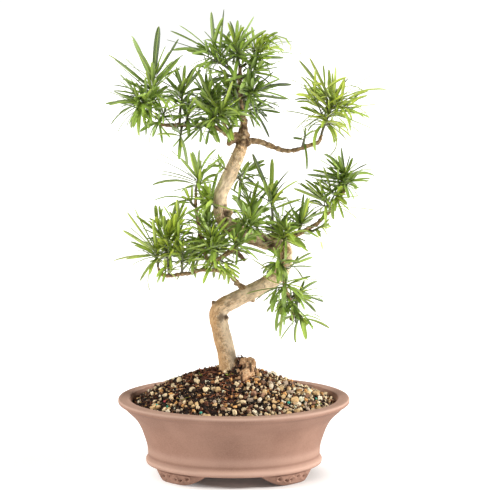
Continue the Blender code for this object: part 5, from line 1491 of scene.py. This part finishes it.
def path_frames():
    """For points all along the wood: place, direction, one direction across it, way along, radius and
    the path's number."""
    samples = []
    for number, rows in enumerate(PATHS.values()):
        fine = smooth_rows(rows, FRAME_STEP)
        centres = fine[:, :3]
        tangents = path_directions(centres)
        across = np.cross(tangents, GUIDE)
        across /= np.linalg.norm(across, axis=1)[:, None]
        samples.append(np.column_stack([centres, tangents, across, path_lengths(centres),
                                        fine[:, 3] / 2.0, np.full(len(fine), float(number))]))
    return np.vstack(samples)


def nearest_on_paths(points, samples):
    """The path sample whose bark is nearest to each point, worked out a slice at a time."""
    best = np.empty(len(points), np.int64)
    for start in range(0, len(points), PATH_SLICE):
        part = points[start:start + PATH_SLICE]
        gaps = np.linalg.norm(part[:, None, :] - samples[None, :, :3], axis=2) - samples[None, :, 10]
        best[start:start + PATH_SLICE] = gaps.argmin(axis=1)
    return best


def bark_places(points, samples):
    """Places along, and round, the straightened branch: the way along the path, then the direction
    from the path times its radius. Noise at these places follows the wood."""
    chosen = samples[nearest_on_paths(points, samples)]
    away = points - chosen[:, :3]
    tangents, across = chosen[:, 3:6], chosen[:, 6:9]
    third = np.cross(tangents, across)
    u, v = np.einsum("ij,ij->i", away, across), np.einsum("ij,ij->i", away, third)
    reach = np.maximum(np.hypot(u, v), 0.1)
    radius = chosen[:, 10]
    ahead = np.einsum("ij,ij->i", away, tangents)
    straight = np.column_stack([chosen[:, 9] + 97.0 * chosen[:, 11] + ahead,
                                radius * u / reach, radius * v / reach])
    return straight, radius, chosen[:, 11]


def wood_skin(voxel, material):
    """Trunk, branches and root in one skin: tubes and knots, merged by a voxel remesh and smoothed."""
    shells = [swept(smooth_rows(TRUNK, WOOD_STEP), TRUNK_SIDES, 0.05, 21)]
    for number, rows in enumerate(BRANCHES.values()):
        fine = smooth_rows(rows, WOOD_STEP)
        fine[:, 3] *= 1.0 + COLLAR_SHARE * bell(path_lengths(fine[:, :3]), COLLAR_REACH)
        shells.append(swept(fine, BRANCH_SIDES, 0.08, 30 + number))
    knots = np.array(BURLS, float)
    rng = np.random.default_rng(77)
    shells.append(scattered(pebble(7, 14, 1.0), knots[:, :3], np.repeat(knots[:, 3:], 3, axis=1),
                            turned(rng, len(knots), 1.0), 0.04, rng))
    points, quads, fans = merged(shells)
    wood = put_mesh("wood", points, [quads, fans], material)
    remesh = wood.modifiers.new("one_skin", "REMESH")
    remesh.mode, remesh.voxel_size = "VOXEL", voxel
    soften = wood.modifiers.new("soften", "SMOOTH")
    soften.factor, soften.iterations = 0.5, 4
    bpy.context.view_layer.objects.active = wood
    for modifier in list(wood.modifiers):
        bpy.ops.object.modifier_apply(modifier=modifier.name)
    return wood


def bark_relief(points):
    """How far the bark is pushed out and the values that its material reads. Furrows and flakes follow
    the grain, ridges ring the twigs, clods cover the root, and each of the scars is a bell-shaped hollow
    or rim. The dark values also hold painted shade in the hollows between the root's clods, and the
    furrows' sunk parts give painted shade."""
    straight, radius, label = bark_places(points, path_frames())
    trunk = label == PATH_NUMBERS["trunk"]
    root = np.isin(label, [PATH_NUMBERS["surface_root"], PATH_NUMBERS["root_strand"]])
    twig = ~trunk & ~root
    leader = np.clip((points[:, 2] - LEADER_Z) / 14.0, 0.0, 1.0) * trunk
    rugged = np.clip(0.25 + 0.7 * leader + 0.5 * twig, 0.0, 1.0)
    furrows = lumps(straight / [4.6, 1.9, 1.9], 1.0, 41)
    flakes = lumps(straight / [2.6, 2.9, 2.9], 1.0, 42)
    swell = lumps(straight / [19.0, 8.0, 8.0], 1.0, 43)
    ridges = bell((straight[:, 0] + 1.4 * swell) % 5.5 - 2.7, 0.8) * twig
    clods = lumps(points / [1.0, 1.0, 1.7], 3.4, 45)
    push = (0.32 * furrows + 0.34 * flakes) * (0.6 + rugged) + 0.45 * swell * np.minimum(1.0, radius / 6.0)
    push += 0.42 * ridges + 0.5 * leader * flakes
    push += root * (1.9 * clods + 1.1 * lumps(points, 1.9, 46)) + 0.3 * twig * lumps(points, 2.6, 47)
    bend = bell(points[:, 2] - ELBOW_Z, 13.0) * trunk
    push += 0.5 * bend * lumps(points, 2.8, 50)
    dark = leader * np.clip(0.42 + 0.9 * flakes, 0.0, 0.95) + 0.7 * (label == PATH_NUMBERS["dead_twig"])
    # The root is darker in the hollows between its clods, which is painted shade; twigs and the elbow are
    # stained
    for stain_and_shade in (root * np.clip(0.3 - 3.0 * clods, 0.0, 0.95),
                    twig * np.clip(0.15 + 0.9 * lumps(points, 2.4, 48), 0.0, 0.6),
                    bend * np.clip(0.3 + 0.9 * lumps(points, 3.4, 49), 0.0, 0.75)):
        dark = np.maximum(dark, stain_and_shade)
    for x, y, z, reach, depth, stain in SCARS:
        away = np.linalg.norm(points - [x, y, z], axis=1) / reach
        ragged = away * (1.0 + 0.35 * lumps(points, 1.6, 44))
        push += depth * np.exp(-ragged ** 2)
        dark = np.maximum(dark, stain * np.exp(-(0.9 * ragged) ** 4))
    # The furrows' values below 0 give painted shade in their sunk parts
    values = {"bark_place": straight * MM, "scar": np.clip(dark, 0.0, 1.0),
              "furrow": furrows * (0.6 + rugged), "root": root * 1.0,
              "twig": np.clip(twig + 0.6 * leader, 0.0, 1.0)}
    return push, trunk, values


def pale_bark_and_painted_shading_share(points, normals):
    """How pale the trunk's bark is: its smooth middle, a little less on the sides that face right as
    painted shade, the lower limb as painted light, and the sides of the lower trunk that face right as
    painted light. Below 0, on the left of the lower trunk, it is darker: painted shade."""
    smooth = bell(points[:, 2] - 318.0, 25.0)
    # Less pale on the sides that face right: painted shade
    smooth = smooth * (1.0 - 0.45 * np.clip(normals[:, 0], 0.0, 1.0))
    # Painted light on the lower limb
    limb = 0.7 * bell(points[:, 2] - 208.0, 15.0) * (points[:, 0] > -24.0)
    # Painted light on the sides of the lower trunk that face right
    right = 0.9 * np.clip(1.6 * normals[:, 0] + 0.1, 0.0, 1.0) * (points[:, 2] < 290.0)
    # Painted shade on the sides of the lower trunk that face left
    left = np.clip(-1.8 * normals[:, 0], 0.0, 1.0) * (points[:, 2] < 200.0)
    return np.maximum(np.maximum(smooth, limb), right) - left


def build_wood(sizes, material):
    """The wood's skin with its bark pushed in and out along the normals."""
    wood = wood_skin(sizes.wood_voxel, material)
    mesh = wood.data
    points, normals = mesh_vectors(mesh, "co") / MM, mesh_vectors(mesh, "normal")
    push, trunk, values = bark_relief(points)
    points = points + normals * push[:, None]
    move_points(mesh, points)
    # Pale bark with painted light and shade, only on the trunk
    for name, value in {**values, "bleached": pale_bark_and_painted_shading_share(points, normals) * trunk}.items():
        store(mesh, name, value, "POINT")
    mesh.update()
    mesh.shade_smooth()
    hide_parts("trunk")


def bark(colours):
    """Podocarpus bark: thin, matt and tan, with grey and olive mottles, fine dark flecks along the
    grain, brown on twigs and near black in the scars. Painted light makes its smooth middle, the lower
    limb and the sides that face right paler, and painted shade darkens the left of the lower trunk, the
    furrows and the root's hollows."""
    material, shader, place = bare_material("podocarpus_bark", 0.82, 0.3)
    straight = add_node(material, "Attribute", {"attribute_name": "bark_place"}, "Vector")
    grain = add_node(material, "Mapping", Vector=straight, Scale=(0.55, 1.0, 1.0))
    mottle = patches(material, grain, 5.5, 4.0, 0.6, (0.4, 0.66))
    olive = patches(material, place, 13.0, levels=(0.5, 0.68))
    flecks = patches(material, grain, 1.7, 4.0, 0.9, (0.51, 0.58))
    pale = patches(material, place, 2.8, 5.0, 0.8, (0.5, 0.58))
    stains = patches(material, grain, 4.2, 5.0, 0.8, (0.54, 0.64))
    root = add_node(material, "Attribute", {"attribute_name": "root"}, "Fac")
    worn = add_node(material, "Math", {"operation": "MULTIPLY"},
                    i0=patches(material, place, 2.6, levels=(0.5, 0.62)), i1=root)
    colour = tint(material, (*colours.bark, 1.0), (*colours.bark_shade, 1.0), mottle)
    for share, amount, high, shade in (
            (olive, 0.26, 1.0, "#9A8A62"), (pale, 0.8, 1.0, "#FFE9C6"), (stains, 0.7, 1.0, "#98714A"),
            # Pale smooth bark, partly painted light; on the next line, darker where that value is below 0:
            # painted shade
            (flecks, 0.8, 1.0, "#6C4828"), ("bleached", 0.84, 1.0, "#FFE9C9"),
            # The furrow row darkens the sunk parts of the furrows: painted shade
            ("bleached", 0.7, -1.0, "#B58C5E"), ("furrow", 0.6, -1.0, "#86603A"),
            ("twig", 0.5, 1.0, "#8A6E45"), (root, 0.75, 1.0, "#A97B58"),
            # The last row: the bark's dark marks, with painted shade in the root's hollows
            (worn, 0.75, 1.0, "#E3C49C"), ("scar", 0.95, 1.0, "#3B2414")):
        colour = tint(material, colour, shade, share, amount, 0.0, high)
    return surface(material, shader, colour, None, patches(material, grain, 1.2, 4.0, 0.8), 1.0)


# A blade's section: points round it, across and up, and how many of its sides face up
RING_ACROSS = np.array([-1.0, -0.42, 0.0, 0.42, 1.0, 0.0])
RING_HEIGHT = np.array([-0.4, 0.22, 0.7, 0.22, -0.4, -0.1])
RING_SIDES = len(RING_ACROSS)
UPPER_SIDES = 4
UNDER_SIDES = RING_SIDES - UPPER_SIDES


def blade_points(leaf, shares, rng):
    """One leaf: rings along a circular arc, with the midrib raised on the upper side and a width that
    follows the leaf's outline, then its tip and its root."""
    way = np.append(shares, 1.0)[:, None]
    widths = np.array([min(1.0, LEAF_ROOT_WIDTH / leaf.width), *STRAP_WIDTHS])
    middle, along, under = leaf_spine(leaf, way[:, 0])
    flat = np.cross(leaf.start, leaf.turn)
    roll = leaf.roll + facing_twist(leaf, rng) * np.minimum(1.0, 5.0 * way) + rng.uniform(-0.5, 0.5) * way
    side = np.cos(roll) * flat[None, :] + np.sin(roll) * under
    up = np.cross(side, along)
    middle = middle + side * (rng.uniform(-0.06, 0.06) * leaf.length * way[:, 0] ** 2)[:, None]
    half = widths * leaf.width / 2.0
    thick = np.interp(shares, [0.0, 0.1, 0.9], [0.55, 0.8, 0.6]) * min(1.0, leaf.width / 4.0)
    rings = (middle[:-1, None] + side[:-1, None] * (half[:, None] * RING_ACROSS)[:, :, None]
             + up[:-1, None] * (thick[:, None] * RING_HEIGHT)[:, :, None])
    return np.vstack([rings.reshape(-1, 3), middle[-1:], middle[:1] - along[:1] * 0.3])


def blades_object(name, blades, youths, tones, stems, material, rng):
    """Leaves and stems as one piece, with the values that their material reads: how far across, along
    and old a place is, its tone, and whether it is stem or underside."""
    shares = np.array(STRAP_SHARES)
    around = np.arange(RING_SIDES)
    after = (around + 1) % RING_SIDES
    tip = len(shares) * RING_SIDES
    leaf_quads = grid_quads(len(shares), RING_SIDES)
    leaf_fans = np.vstack([
        np.column_stack([tip - RING_SIDES + around, tip - RING_SIDES + after, np.full(RING_SIDES, tip)]),
        np.column_stack([after, around, np.full(RING_SIDES, tip + 1)])])
    count, each = len(blades), tip + 2
    points = [blade_points(leaf, shares, rng) for leaf in blades]
    starts = (np.arange(count) * each)[:, None, None]
    quads, fans = [(leaf_quads + starts).reshape(-1, 4)], [(leaf_fans + starts).reshape(-1, 3)]
    values = {"across": [np.tile([*np.tile(RING_ACROSS, len(shares)), 0.0, 0.0], count)],
              "youth": [np.repeat(np.array(youths) / 3.0, each)], "tone": [np.repeat(tones, each)],
              "way": [np.tile([*np.repeat(shares, RING_SIDES), 1.0, 0.0], count)],
              "stem": [np.zeros(count * each)]}
    start = count * each
    for rows, youth in stems:
        shell = swept(rows, STEM_SIDES, 0.08, 61)
        for rest, part in zip((points, quads, fans), (shell[0], shell[1] + start, shell[2] + start)):
            rest.append(part)
        start += len(shell[0])
        # An across of 0.6 gives a stem the full painted shade of a blade's darker half
        for key, value in (("across", 0.6), ("youth", youth / 3.0), ("tone", 0.5), ("way", 0.3)):
            values[key].append(np.full(len(shell[0]), value))
        green = np.repeat(np.linspace(1.0, 0.15, len(rows)), STEM_SIDES)
        values["stem"].append(np.array([*green, 1.0, 0.15]))
    quads, fans = np.vstack(quads), np.vstack(fans)
    sides = np.array([UPPER_SIDES, UNDER_SIDES, RING_SIDES])
    under_quads = np.tile(np.repeat([0.0, 1.0], 4 * sides[:2]), (len(shares) - 1) * count)
    under_fans = np.tile(np.repeat([0.0, 1.0, 0.0], 3 * sides), count)
    under = np.concatenate([under_quads, np.zeros(quads.size - len(under_quads)),
                            under_fans, np.zeros(fans.size - len(under_fans))])
    return put_mesh(name, np.vstack(points), [quads, fans], material,
                    {key: np.concatenate(value) for key, value in values.items()}, {"under": under}, 50.0)


def row_at_tip(leaf, rows, reach=TIP_REACH):
    """The first row whose x and z are the place of a leaf's tip, or None."""
    tip = leaf_spine(leaf, [1.0])[0][0]
    return next((row for row in rows if math.hypot(tip[0] - row[0], tip[2] - row[1]) < reach), None)


def facing_twist(leaf, rng):
    """A leaf stalk's twist, which turns the blade a share of the way towards the photograph's side:
    the angle, about the leaf's direction, between the blade's upper side and that side."""
    side = np.cross(leaf.start, leaf.turn)
    up = np.cross(side, unit(leaf.start))
    front = np.array([0.0, -1.0, 0.0])
    angle = math.atan2(-(front @ side), front @ up)
    angle = (angle + math.pi / 2.0) % math.pi - math.pi / 2.0
    share = 1.0 if row_at_tip(leaf, PLAIN_TIPS, PLAIN_REACH) else rng.uniform(*FACING)
    return float(np.clip(angle, -MOST_TWIST, MOST_TWIST)) * share


def leaf_skin():
    """Podocarpus leaf: leathery, with a cuticle of wax. The upper side is glossy green with a paler
    midrib, the underside paler and duller, and young leaves yellow-green. Some leaves carry a pale
    painted sheen, one half of each blade is darker as painted shade, and the leaves are painted darker
    towards their roots, where shade falls inside the tufts."""
    material, shader, place = bare_material("waxy_leaf", 0.34, 0.6)
    across, tone, under = (add_node(material, "Attribute", {"attribute_name": name}, "Fac")
                           for name in ("across", "tone", "under"))
    # A pale grey-green painted sheen on some of the leaves, picked by their tone
    shuffled = add_node(material, "Math", {"operation": "MULTIPLY"}, i0=tone, i1=7.3)
    painted_sheen = add_node(material, "Math", {"operation": "FRACT"}, i0=shuffled)
    streaks = patches(material, place, 2.6)
    size = add_node(material, "Math", {"operation": "ABSOLUTE"}, i0=across)
    rib = add_node(material, "MapRange", i0=size, i1=0.18, i2=0.05, i4=0.6)
    colour = tint(material, "#0A2105", "#A0BC48", tone)
    colour = tint(material, colour, "#AFC67C", painted_sheen, 0.66, 0.4)
    colour = tint(material, colour, tint(material, "#8DB22C", "#DAE654", tone), "youth", 1.0, 0.15)
    for shade, share, amount, low, high in (
            # The second row darkens one half of each blade, past the midrib: painted shade
            ("#86A83A", streaks, 0.25, 0.36, 0.64), ("#142C0A", across, 0.5, -0.06, 0.06),
            ("#A9C452", rib, None, 0.0, 1.0), ("#8FAF42", under, 0.55, 0.0, 1.0),
            ("#4F3F24", "stem", 0.9, 0.1, 0.9), ("#8F8A48", "way", 0.4, 0.95, 1.0),
            # Darker towards the leaf's root, inside the tufts: painted shade
            ("#122808", "way", 0.4, 0.4, 0.02)):
        colour = tint(material, colour, shade, share, amount, low, high)
    shader.inputs["Coat Weight"].default_value = 0.65
    shader.inputs["Coat Roughness"].default_value = 0.16
    veins = patches(material, place, 1.1, 2.0)
    height = add_node(material, "Math", {"operation": "ADD"}, i0=rib, i1=veins)
    shine = add_node(material, "MapRange", i0=under, i3=0.3, i4=0.55)
    return surface(material, shader, colour, shine, height, 0.12)


def tuft_rows(tuft):
    """A side stem's points and diameters."""
    start, end = np.array(tuft.foot), np.array(tuft.bud)
    middle, point = 0.5 * (start + end), end + 2.0 * unit(end - start)
    return [(*start, 1.8), (*middle, 1.7), (*end, 1.2), (*point, 0.5)]


def side_tufts(shoot, rng):
    """Short side stems, each a small shoot of its own, that stand out from the lower part of a stem."""
    foot, bud, *axes = stem_axes(shoot)
    tufts = []
    for k in range(SIDE_TUFTS):
        azimuth = SIDE_TURN * k + rng.uniform(0.0, 6.28)
        out = fanned(axes, math.radians(rng.uniform(35.0, 75.0)), azimuth)
        start = foot + (bud - foot) * rng.uniform(0.02, 0.45)
        end = start + out * rng.uniform(7.0, 13.0)
        reach = min(0.86 * shoot.length, rng.uniform(22.0, 34.0))
        tufts.append(Shoot(shoot.name, tuple(start), tuple(start), tuple(end), TUFT_LEAVES, reach,
                           min(3, shoot.youth + int(rng.integers(0, 2))), []))
    return tufts


def bud_leaves(shoot, rng):
    """Small new leaves folded round the bud, their directions a narrow cone about the stem."""
    _, bud, *axes = stem_axes(shoot)
    leaves = []
    for k in range(BUD_LEAVES):
        azimuth = GOLDEN_ANGLE * k + rng.uniform(0.0, 1.0)
        start = fanned(axes, math.radians(rng.uniform(8.0, 30.0)), azimuth)
        leaves.append(Leaf(bud - axes[0] * 2.0, start, square_to(-axes[0], start), rng.uniform(9.0, 17.0),
                           rng.uniform(-10.0, 20.0), 0.0, rng.uniform(2.0, 3.0)))
    return leaves


def drawn_leaves(rows):
    """The leaves of a shoot that are drawn one by one."""
    leaves = []
    for base, tip, bend, width, _ in rows:
        root = np.array(base, float)
        start, turn, reach = leaf_frame(root, np.array(tip, float), bend)
        leaves.append(Leaf(root, start, turn, reach, bend, 0.0, width))
    return leaves


def painted_shading_depth(shoot):
    """How deep a shoot's green is, as painted light and shade: outer and lower shoots are painted lighter,
    and the shoots listed are painted lighter or darker.
    """
    light = shoot.joint[2] < LIGHT_UNDER_Z or abs(shoot.joint[0]) > LIGHT_PAST_X
    return PAINTED_SHADING_DEPTHS.get(shoot.name, PAINTED_LIGHT_DEPTH if light else 1.0)


def build_shoots(sizes):
    """All shoots, each replacing its node: stem, the model's leaves, extra leaves and bud leaves."""
    grown = grow_leaves()
    clearance = LooseClearance(grown)
    material = leaf_skin()
    for k, shoot in enumerate(SHOOTS):
        rng = np.random.default_rng(300 + k)
        core, drawn_rows = grown[shoot.name], DRAWN_LEAVES.get(shoot.name, [])
        share = EXTRA_SHARES.get(shoot.name, 1.0)
        wanted = int(round(share * len(core) * sizes.extra_leaf_share))
        extras = spiral_leaves(shoot, wanted, clearance, rng, True)
        stems = [(smooth_rows(stem_rows(shoot), STEM_STEP), shoot.youth)]
        tufts = side_tufts(shoot, rng)[:int(round(SIDE_TUFTS * share))]
        tufts += [Shoot(shoot.name, foot, foot, *rest, []) for foot, *rest in FILLING.get(shoot.name, [])]
        for tuft in tufts:
            extras += spiral_leaves(tuft, tuft.count, clearance, rng, True)
            stems.append((smooth_rows(tuft_rows(tuft), STEM_STEP), tuft.youth))
        buds = bud_leaves(shoot, rng)
        narrow = CORE_WIDTH * (THIN_WIDTH if shoot.name in THIN_SHOOTS else 1.0)
        blades = [leaf._replace(width=narrow * (row_at_tip(leaf, TIP_WIDTHS) or (1.0,))[-1] * leaf.width)
                  for leaf in core]
        blades += extras + buds + drawn_leaves(drawn_rows)
        youths = [np.clip((LEAF_WIDTH - leaf.width) / LEAF_NARROWING, 0.0, 3.0) for leaf in core]
        youths += [float(np.clip(shoot.youth + rng.uniform(-0.6, 1.4), 0.0, 3.0)) for leaf in extras]
        youths += [float(rng.uniform(1.8, 3.0)) for leaf in buds] + [row[4] for row in drawn_rows]
        # Tones raised to the shoot's power: painted light and shade
        marked = [row_at_tip(leaf, TIP_TONES) for leaf in blades]
        tones = [row[2] if row else tone ** painted_shading_depth(shoot)
                 for row, tone in zip(marked, rng.uniform(0.0, 1.0, len(blades)))]
        # Shoots painted lightest are also painted a fresher yellow-green: painted light
        lift = PAINTED_LIGHT_YOUTH if painted_shading_depth(shoot) < PAINTED_YOUTH_BELOW_DEPTH else 0.0
        youths = [0.0 if row else min(youth + lift, 3.0) for row, youth in zip(marked, youths)]
        obj = blades_object("leaves_" + shoot.name, blades, youths, tones, stems, material, rng)
        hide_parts("shoot_" + shoot.name)


def dark_plastic():
    """Extruded polyethylene mesh, black and faintly rough."""
    material, shader, place = bare_material("extruded_polyethylene_mesh", 0.5)
    colour = tint(material, "#1B1B1B", "#2B2A29", patches(material, place, 4.0))
    return surface(material, shader, colour, None, patches(material, place, 0.8), 0.08)


def soft_sun(name, place, width, strength, colour):
    """An even studio light from a direction, as wide in the sky as a large softbox near by."""
    light = bpy.data.lights.new(name, "SUN")
    light.angle, light.energy, light.color = math.radians(width), strength, linear(colour)[:3]
    obj = put_object(name, light)
    obj.location = place
    obj.rotation_euler = (-Vector(place)).to_track_quat("-Z", "Y").to_euler()


def studio_floor():
    """A matt white floor that glows a little, less so in an oval under the pot, where a soft shadow
    stays."""
    material, shader, place = bare_material("matt_studio_floor", 0.9, 0.0)
    surface(material, shader, tint(material, "#EDEDED", "#EAEAEA", patches(material, place, 60.0)))
    oval = add_node(material, "Mapping", Vector=place, Scale=FLOOR_OVAL)
    away = add_node(material, "VectorMath", {"operation": "LENGTH"}, "Value", Vector=oval)
    glow = add_node(material, "MapRange", i0=away, i1=0.82, i2=1.25, i3=0.03, i4=0.58)
    shader.inputs["Emission Color"].default_value = linear("#FFFFFF")
    material.node_tree.links.new(glow, shader.inputs["Emission Strength"])
    mesh = bpy.data.meshes.new("studio_floor")
    corners = [(x * FLOOR_REACH, y * FLOOR_REACH, 0.0) for x, y in ((-1, -1), (1, -1), (1, 1), (-1, 1))]
    mesh.from_pydata(corners, [], [(0, 1, 2, 3)])
    mesh.materials.append(material)
    put_object("studio_floor", mesh)


def build_stage(sizes):
    """Plain pale floor, soft studio light and the camera at the photograph's viewing angle."""
    studio_floor()
    world = bpy.data.worlds.new("studio")
    world.use_nodes = True
    back = world.node_tree.nodes["Background"]
    back.inputs["Color"].default_value = linear("#FFFFFF")
    ray = add_node(world, "LightPath", output="Is Camera Ray")
    strength = add_node(world, "MapRange", i0=ray, i3=sizes.world_light, i4=BACKDROP_LIGHT)
    world.node_tree.links.new(strength, back.inputs["Strength"])
    bpy.context.scene.world = world
    for name, place, width, setting, share, colour in LIGHTS:
        soft_sun(name, place, width, share * getattr(sizes, setting), colour)
    lens = bpy.data.cameras.new("photo_camera")
    lens.sensor_fit, lens.sensor_width = "HORIZONTAL", SENSOR_WIDTH
    lens.lens, lens.clip_end = sizes.camera_lens, 200.0
    camera = put_object("photo_camera", lens)
    camera.location = Vector(CAMERA_PLACE) * MM
    camera.rotation_euler = (math.radians(90.0 - CAMERA_PITCH), 0.0, 0.0)
    bpy.context.scene.camera = camera
    bpy.context.scene.view_settings.view_transform = "Standard"


class BonsaiSizes(bpy.types.PropertyGroup):
    """Sizes and amounts that a user would change."""

    wood_voxel: bpy.props.FloatProperty(
        name="Wood voxel", description="Grid size that the wood is merged on", default=0.00085,
        min=0.0004, unit="LENGTH", precision=5)
    extra_leaf_share: bpy.props.FloatProperty(
        name="Extra leaves", description="Leaves added for each leaf of the solid model", default=2.3,
        min=0.0)
    camera_lens: bpy.props.FloatProperty(
        name="Lens", description="Focal length on a 36 mm sensor", default=106.4, unit="CAMERA")
    world_light: bpy.props.FloatProperty(name="Room light", description="Light from all sides",
                                         default=0.1, min=0.0)
    key_light: bpy.props.FloatProperty(name="Key light", description="Soft light from the left front",
                                       default=2.9)
    fill_light: bpy.props.FloatProperty(name="Fill light", description="Soft light from the right",
                                        default=4.15)
    card_light: bpy.props.FloatProperty(name="Card light", description="Light from the white cards, low",
                                        default=1.0, min=0.0)


class BonsaiColours(bpy.types.PropertyGroup):
    """Main colours of the clay and the bark."""

    clay: bpy.props.FloatVectorProperty(
        name="Clay", description="Fired clay in the light", subtype="COLOR", default=linear("#927060")[:3])
    clay_shade: bpy.props.FloatVectorProperty(
        name="Clay shade", description="Fired clay's darker clouds", subtype="COLOR",
        default=linear("#826050")[:3])
    bark: bpy.props.FloatVectorProperty(
        name="Bark", description="Pale bark", subtype="COLOR", default=linear("#F6D3A5")[:3])
    bark_shade: bpy.props.FloatVectorProperty(
        name="Bark shade", description="Bark's darker mottles", subtype="COLOR",
        default=linear("#D8AF7E")[:3])


class BONSAI_OT_pot(bpy.types.Operator):
    """Make the clay pot with its scrolled feet and drain holes."""

    bl_idname = "bonsai.pot"
    bl_label = "Clay pot"

    def execute(self, context):
        material = fired_clay(context.scene.bonsai_colours)
        feet = [foot_skin(corner) for corner in ((1, 1), (-1, 1), (-1, -1), (1, -1))]
        points, quads, fans = merged([pot_wall()] + feet)
        # The clay keeps its pale edges, partly a painted highlight, and its painted shade in the creases
        pot = put_mesh("clay_pot", points, [quads, fans], material,
                       {"rub": wear_and_highlight_share(points), "crease": crease_shade_share(points)})
        drill_holes(pot)
        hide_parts("pot")
        return {"FINISHED"}


class BONSAI_OT_screens(bpy.types.Operator):
    """Give the two drain screens their plastic."""

    bl_idname = "bonsai.screens"
    bl_label = "Drain screens"

    def execute(self, context):
        material = dark_plastic()
        for name in ("drain_screen_left", "drain_screen_right"):
            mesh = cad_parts[name].data
            mesh.materials.clear()
            mesh.materials.append(material)
        return {"FINISHED"}


class BONSAI_OT_soil(bpy.types.Operator):
    """Make the mound of soil with its granules, chips, prills and sprouts."""

    bl_idname = "bonsai.soil"
    bl_label = "Potting mix"

    def execute(self, context):
        build_soil_skin(peat())
        build_granules()
        build_small_things()
        return {"FINISHED"}


class BONSAI_OT_wood(bpy.types.Operator):
    """Make the trunk, branches and surface root with their bark."""

    bl_idname = "bonsai.wood"
    bl_label = "Wood"

    def execute(self, context):
        build_wood(context.scene.bonsai_sizes, bark(context.scene.bonsai_colours))
        return {"FINISHED"}


class BONSAI_OT_shoots(bpy.types.Operator):
    """Make the leafy shoots."""

    bl_idname = "bonsai.shoots"
    bl_label = "Leafy shoots"

    def execute(self, context):
        build_shoots(context.scene.bonsai_sizes)
        return {"FINISHED"}


class BONSAI_OT_stage(bpy.types.Operator):
    """Make the floor, the lights and the camera."""

    bl_idname = "bonsai.stage"
    bl_label = "Studio"

    def execute(self, context):
        build_stage(context.scene.bonsai_sizes)
        return {"FINISHED"}


class BONSAI_PT_panel(bpy.types.Panel):
    """Lists the steps that build the bonsai."""

    bl_idname = "BONSAI_PT_panel"
    bl_label = "Buddhist pine bonsai"
    bl_space_type = "VIEW_3D"
    bl_region_type = "UI"
    bl_category = "Bonsai"

    def draw(self, context):
        for operator in OPERATORS:
            self.layout.operator(operator.bl_idname)


OPERATORS = (BONSAI_OT_pot, BONSAI_OT_screens, BONSAI_OT_soil, BONSAI_OT_wood, BONSAI_OT_shoots,
             BONSAI_OT_stage)
CLASSES = (BonsaiSizes, BonsaiColours, *OPERATORS, BONSAI_PT_panel)


def register():
    """Makes the classes known, and gives the scene its sizes and colours."""
    for cls in CLASSES:
        bpy.utils.register_class(cls)
    bpy.types.Scene.bonsai_sizes = bpy.props.PointerProperty(type=BonsaiSizes)
    bpy.types.Scene.bonsai_colours = bpy.props.PointerProperty(type=BonsaiColours)


def unregister():
    """Takes back what register did, in the opposite order."""
    del bpy.types.Scene.bonsai_colours
    del bpy.types.Scene.bonsai_sizes
    for cls in reversed(CLASSES):
        bpy.utils.unregister_class(cls)


def main():
    """Builds everything in order."""
    register()
    bpy.ops.bonsai.pot()
    bpy.ops.bonsai.screens()
    bpy.ops.bonsai.soil()
    bpy.ops.bonsai.wood()
    bpy.ops.bonsai.shoots()
    bpy.ops.bonsai.stage()


if __name__ == "__main__":
    main()
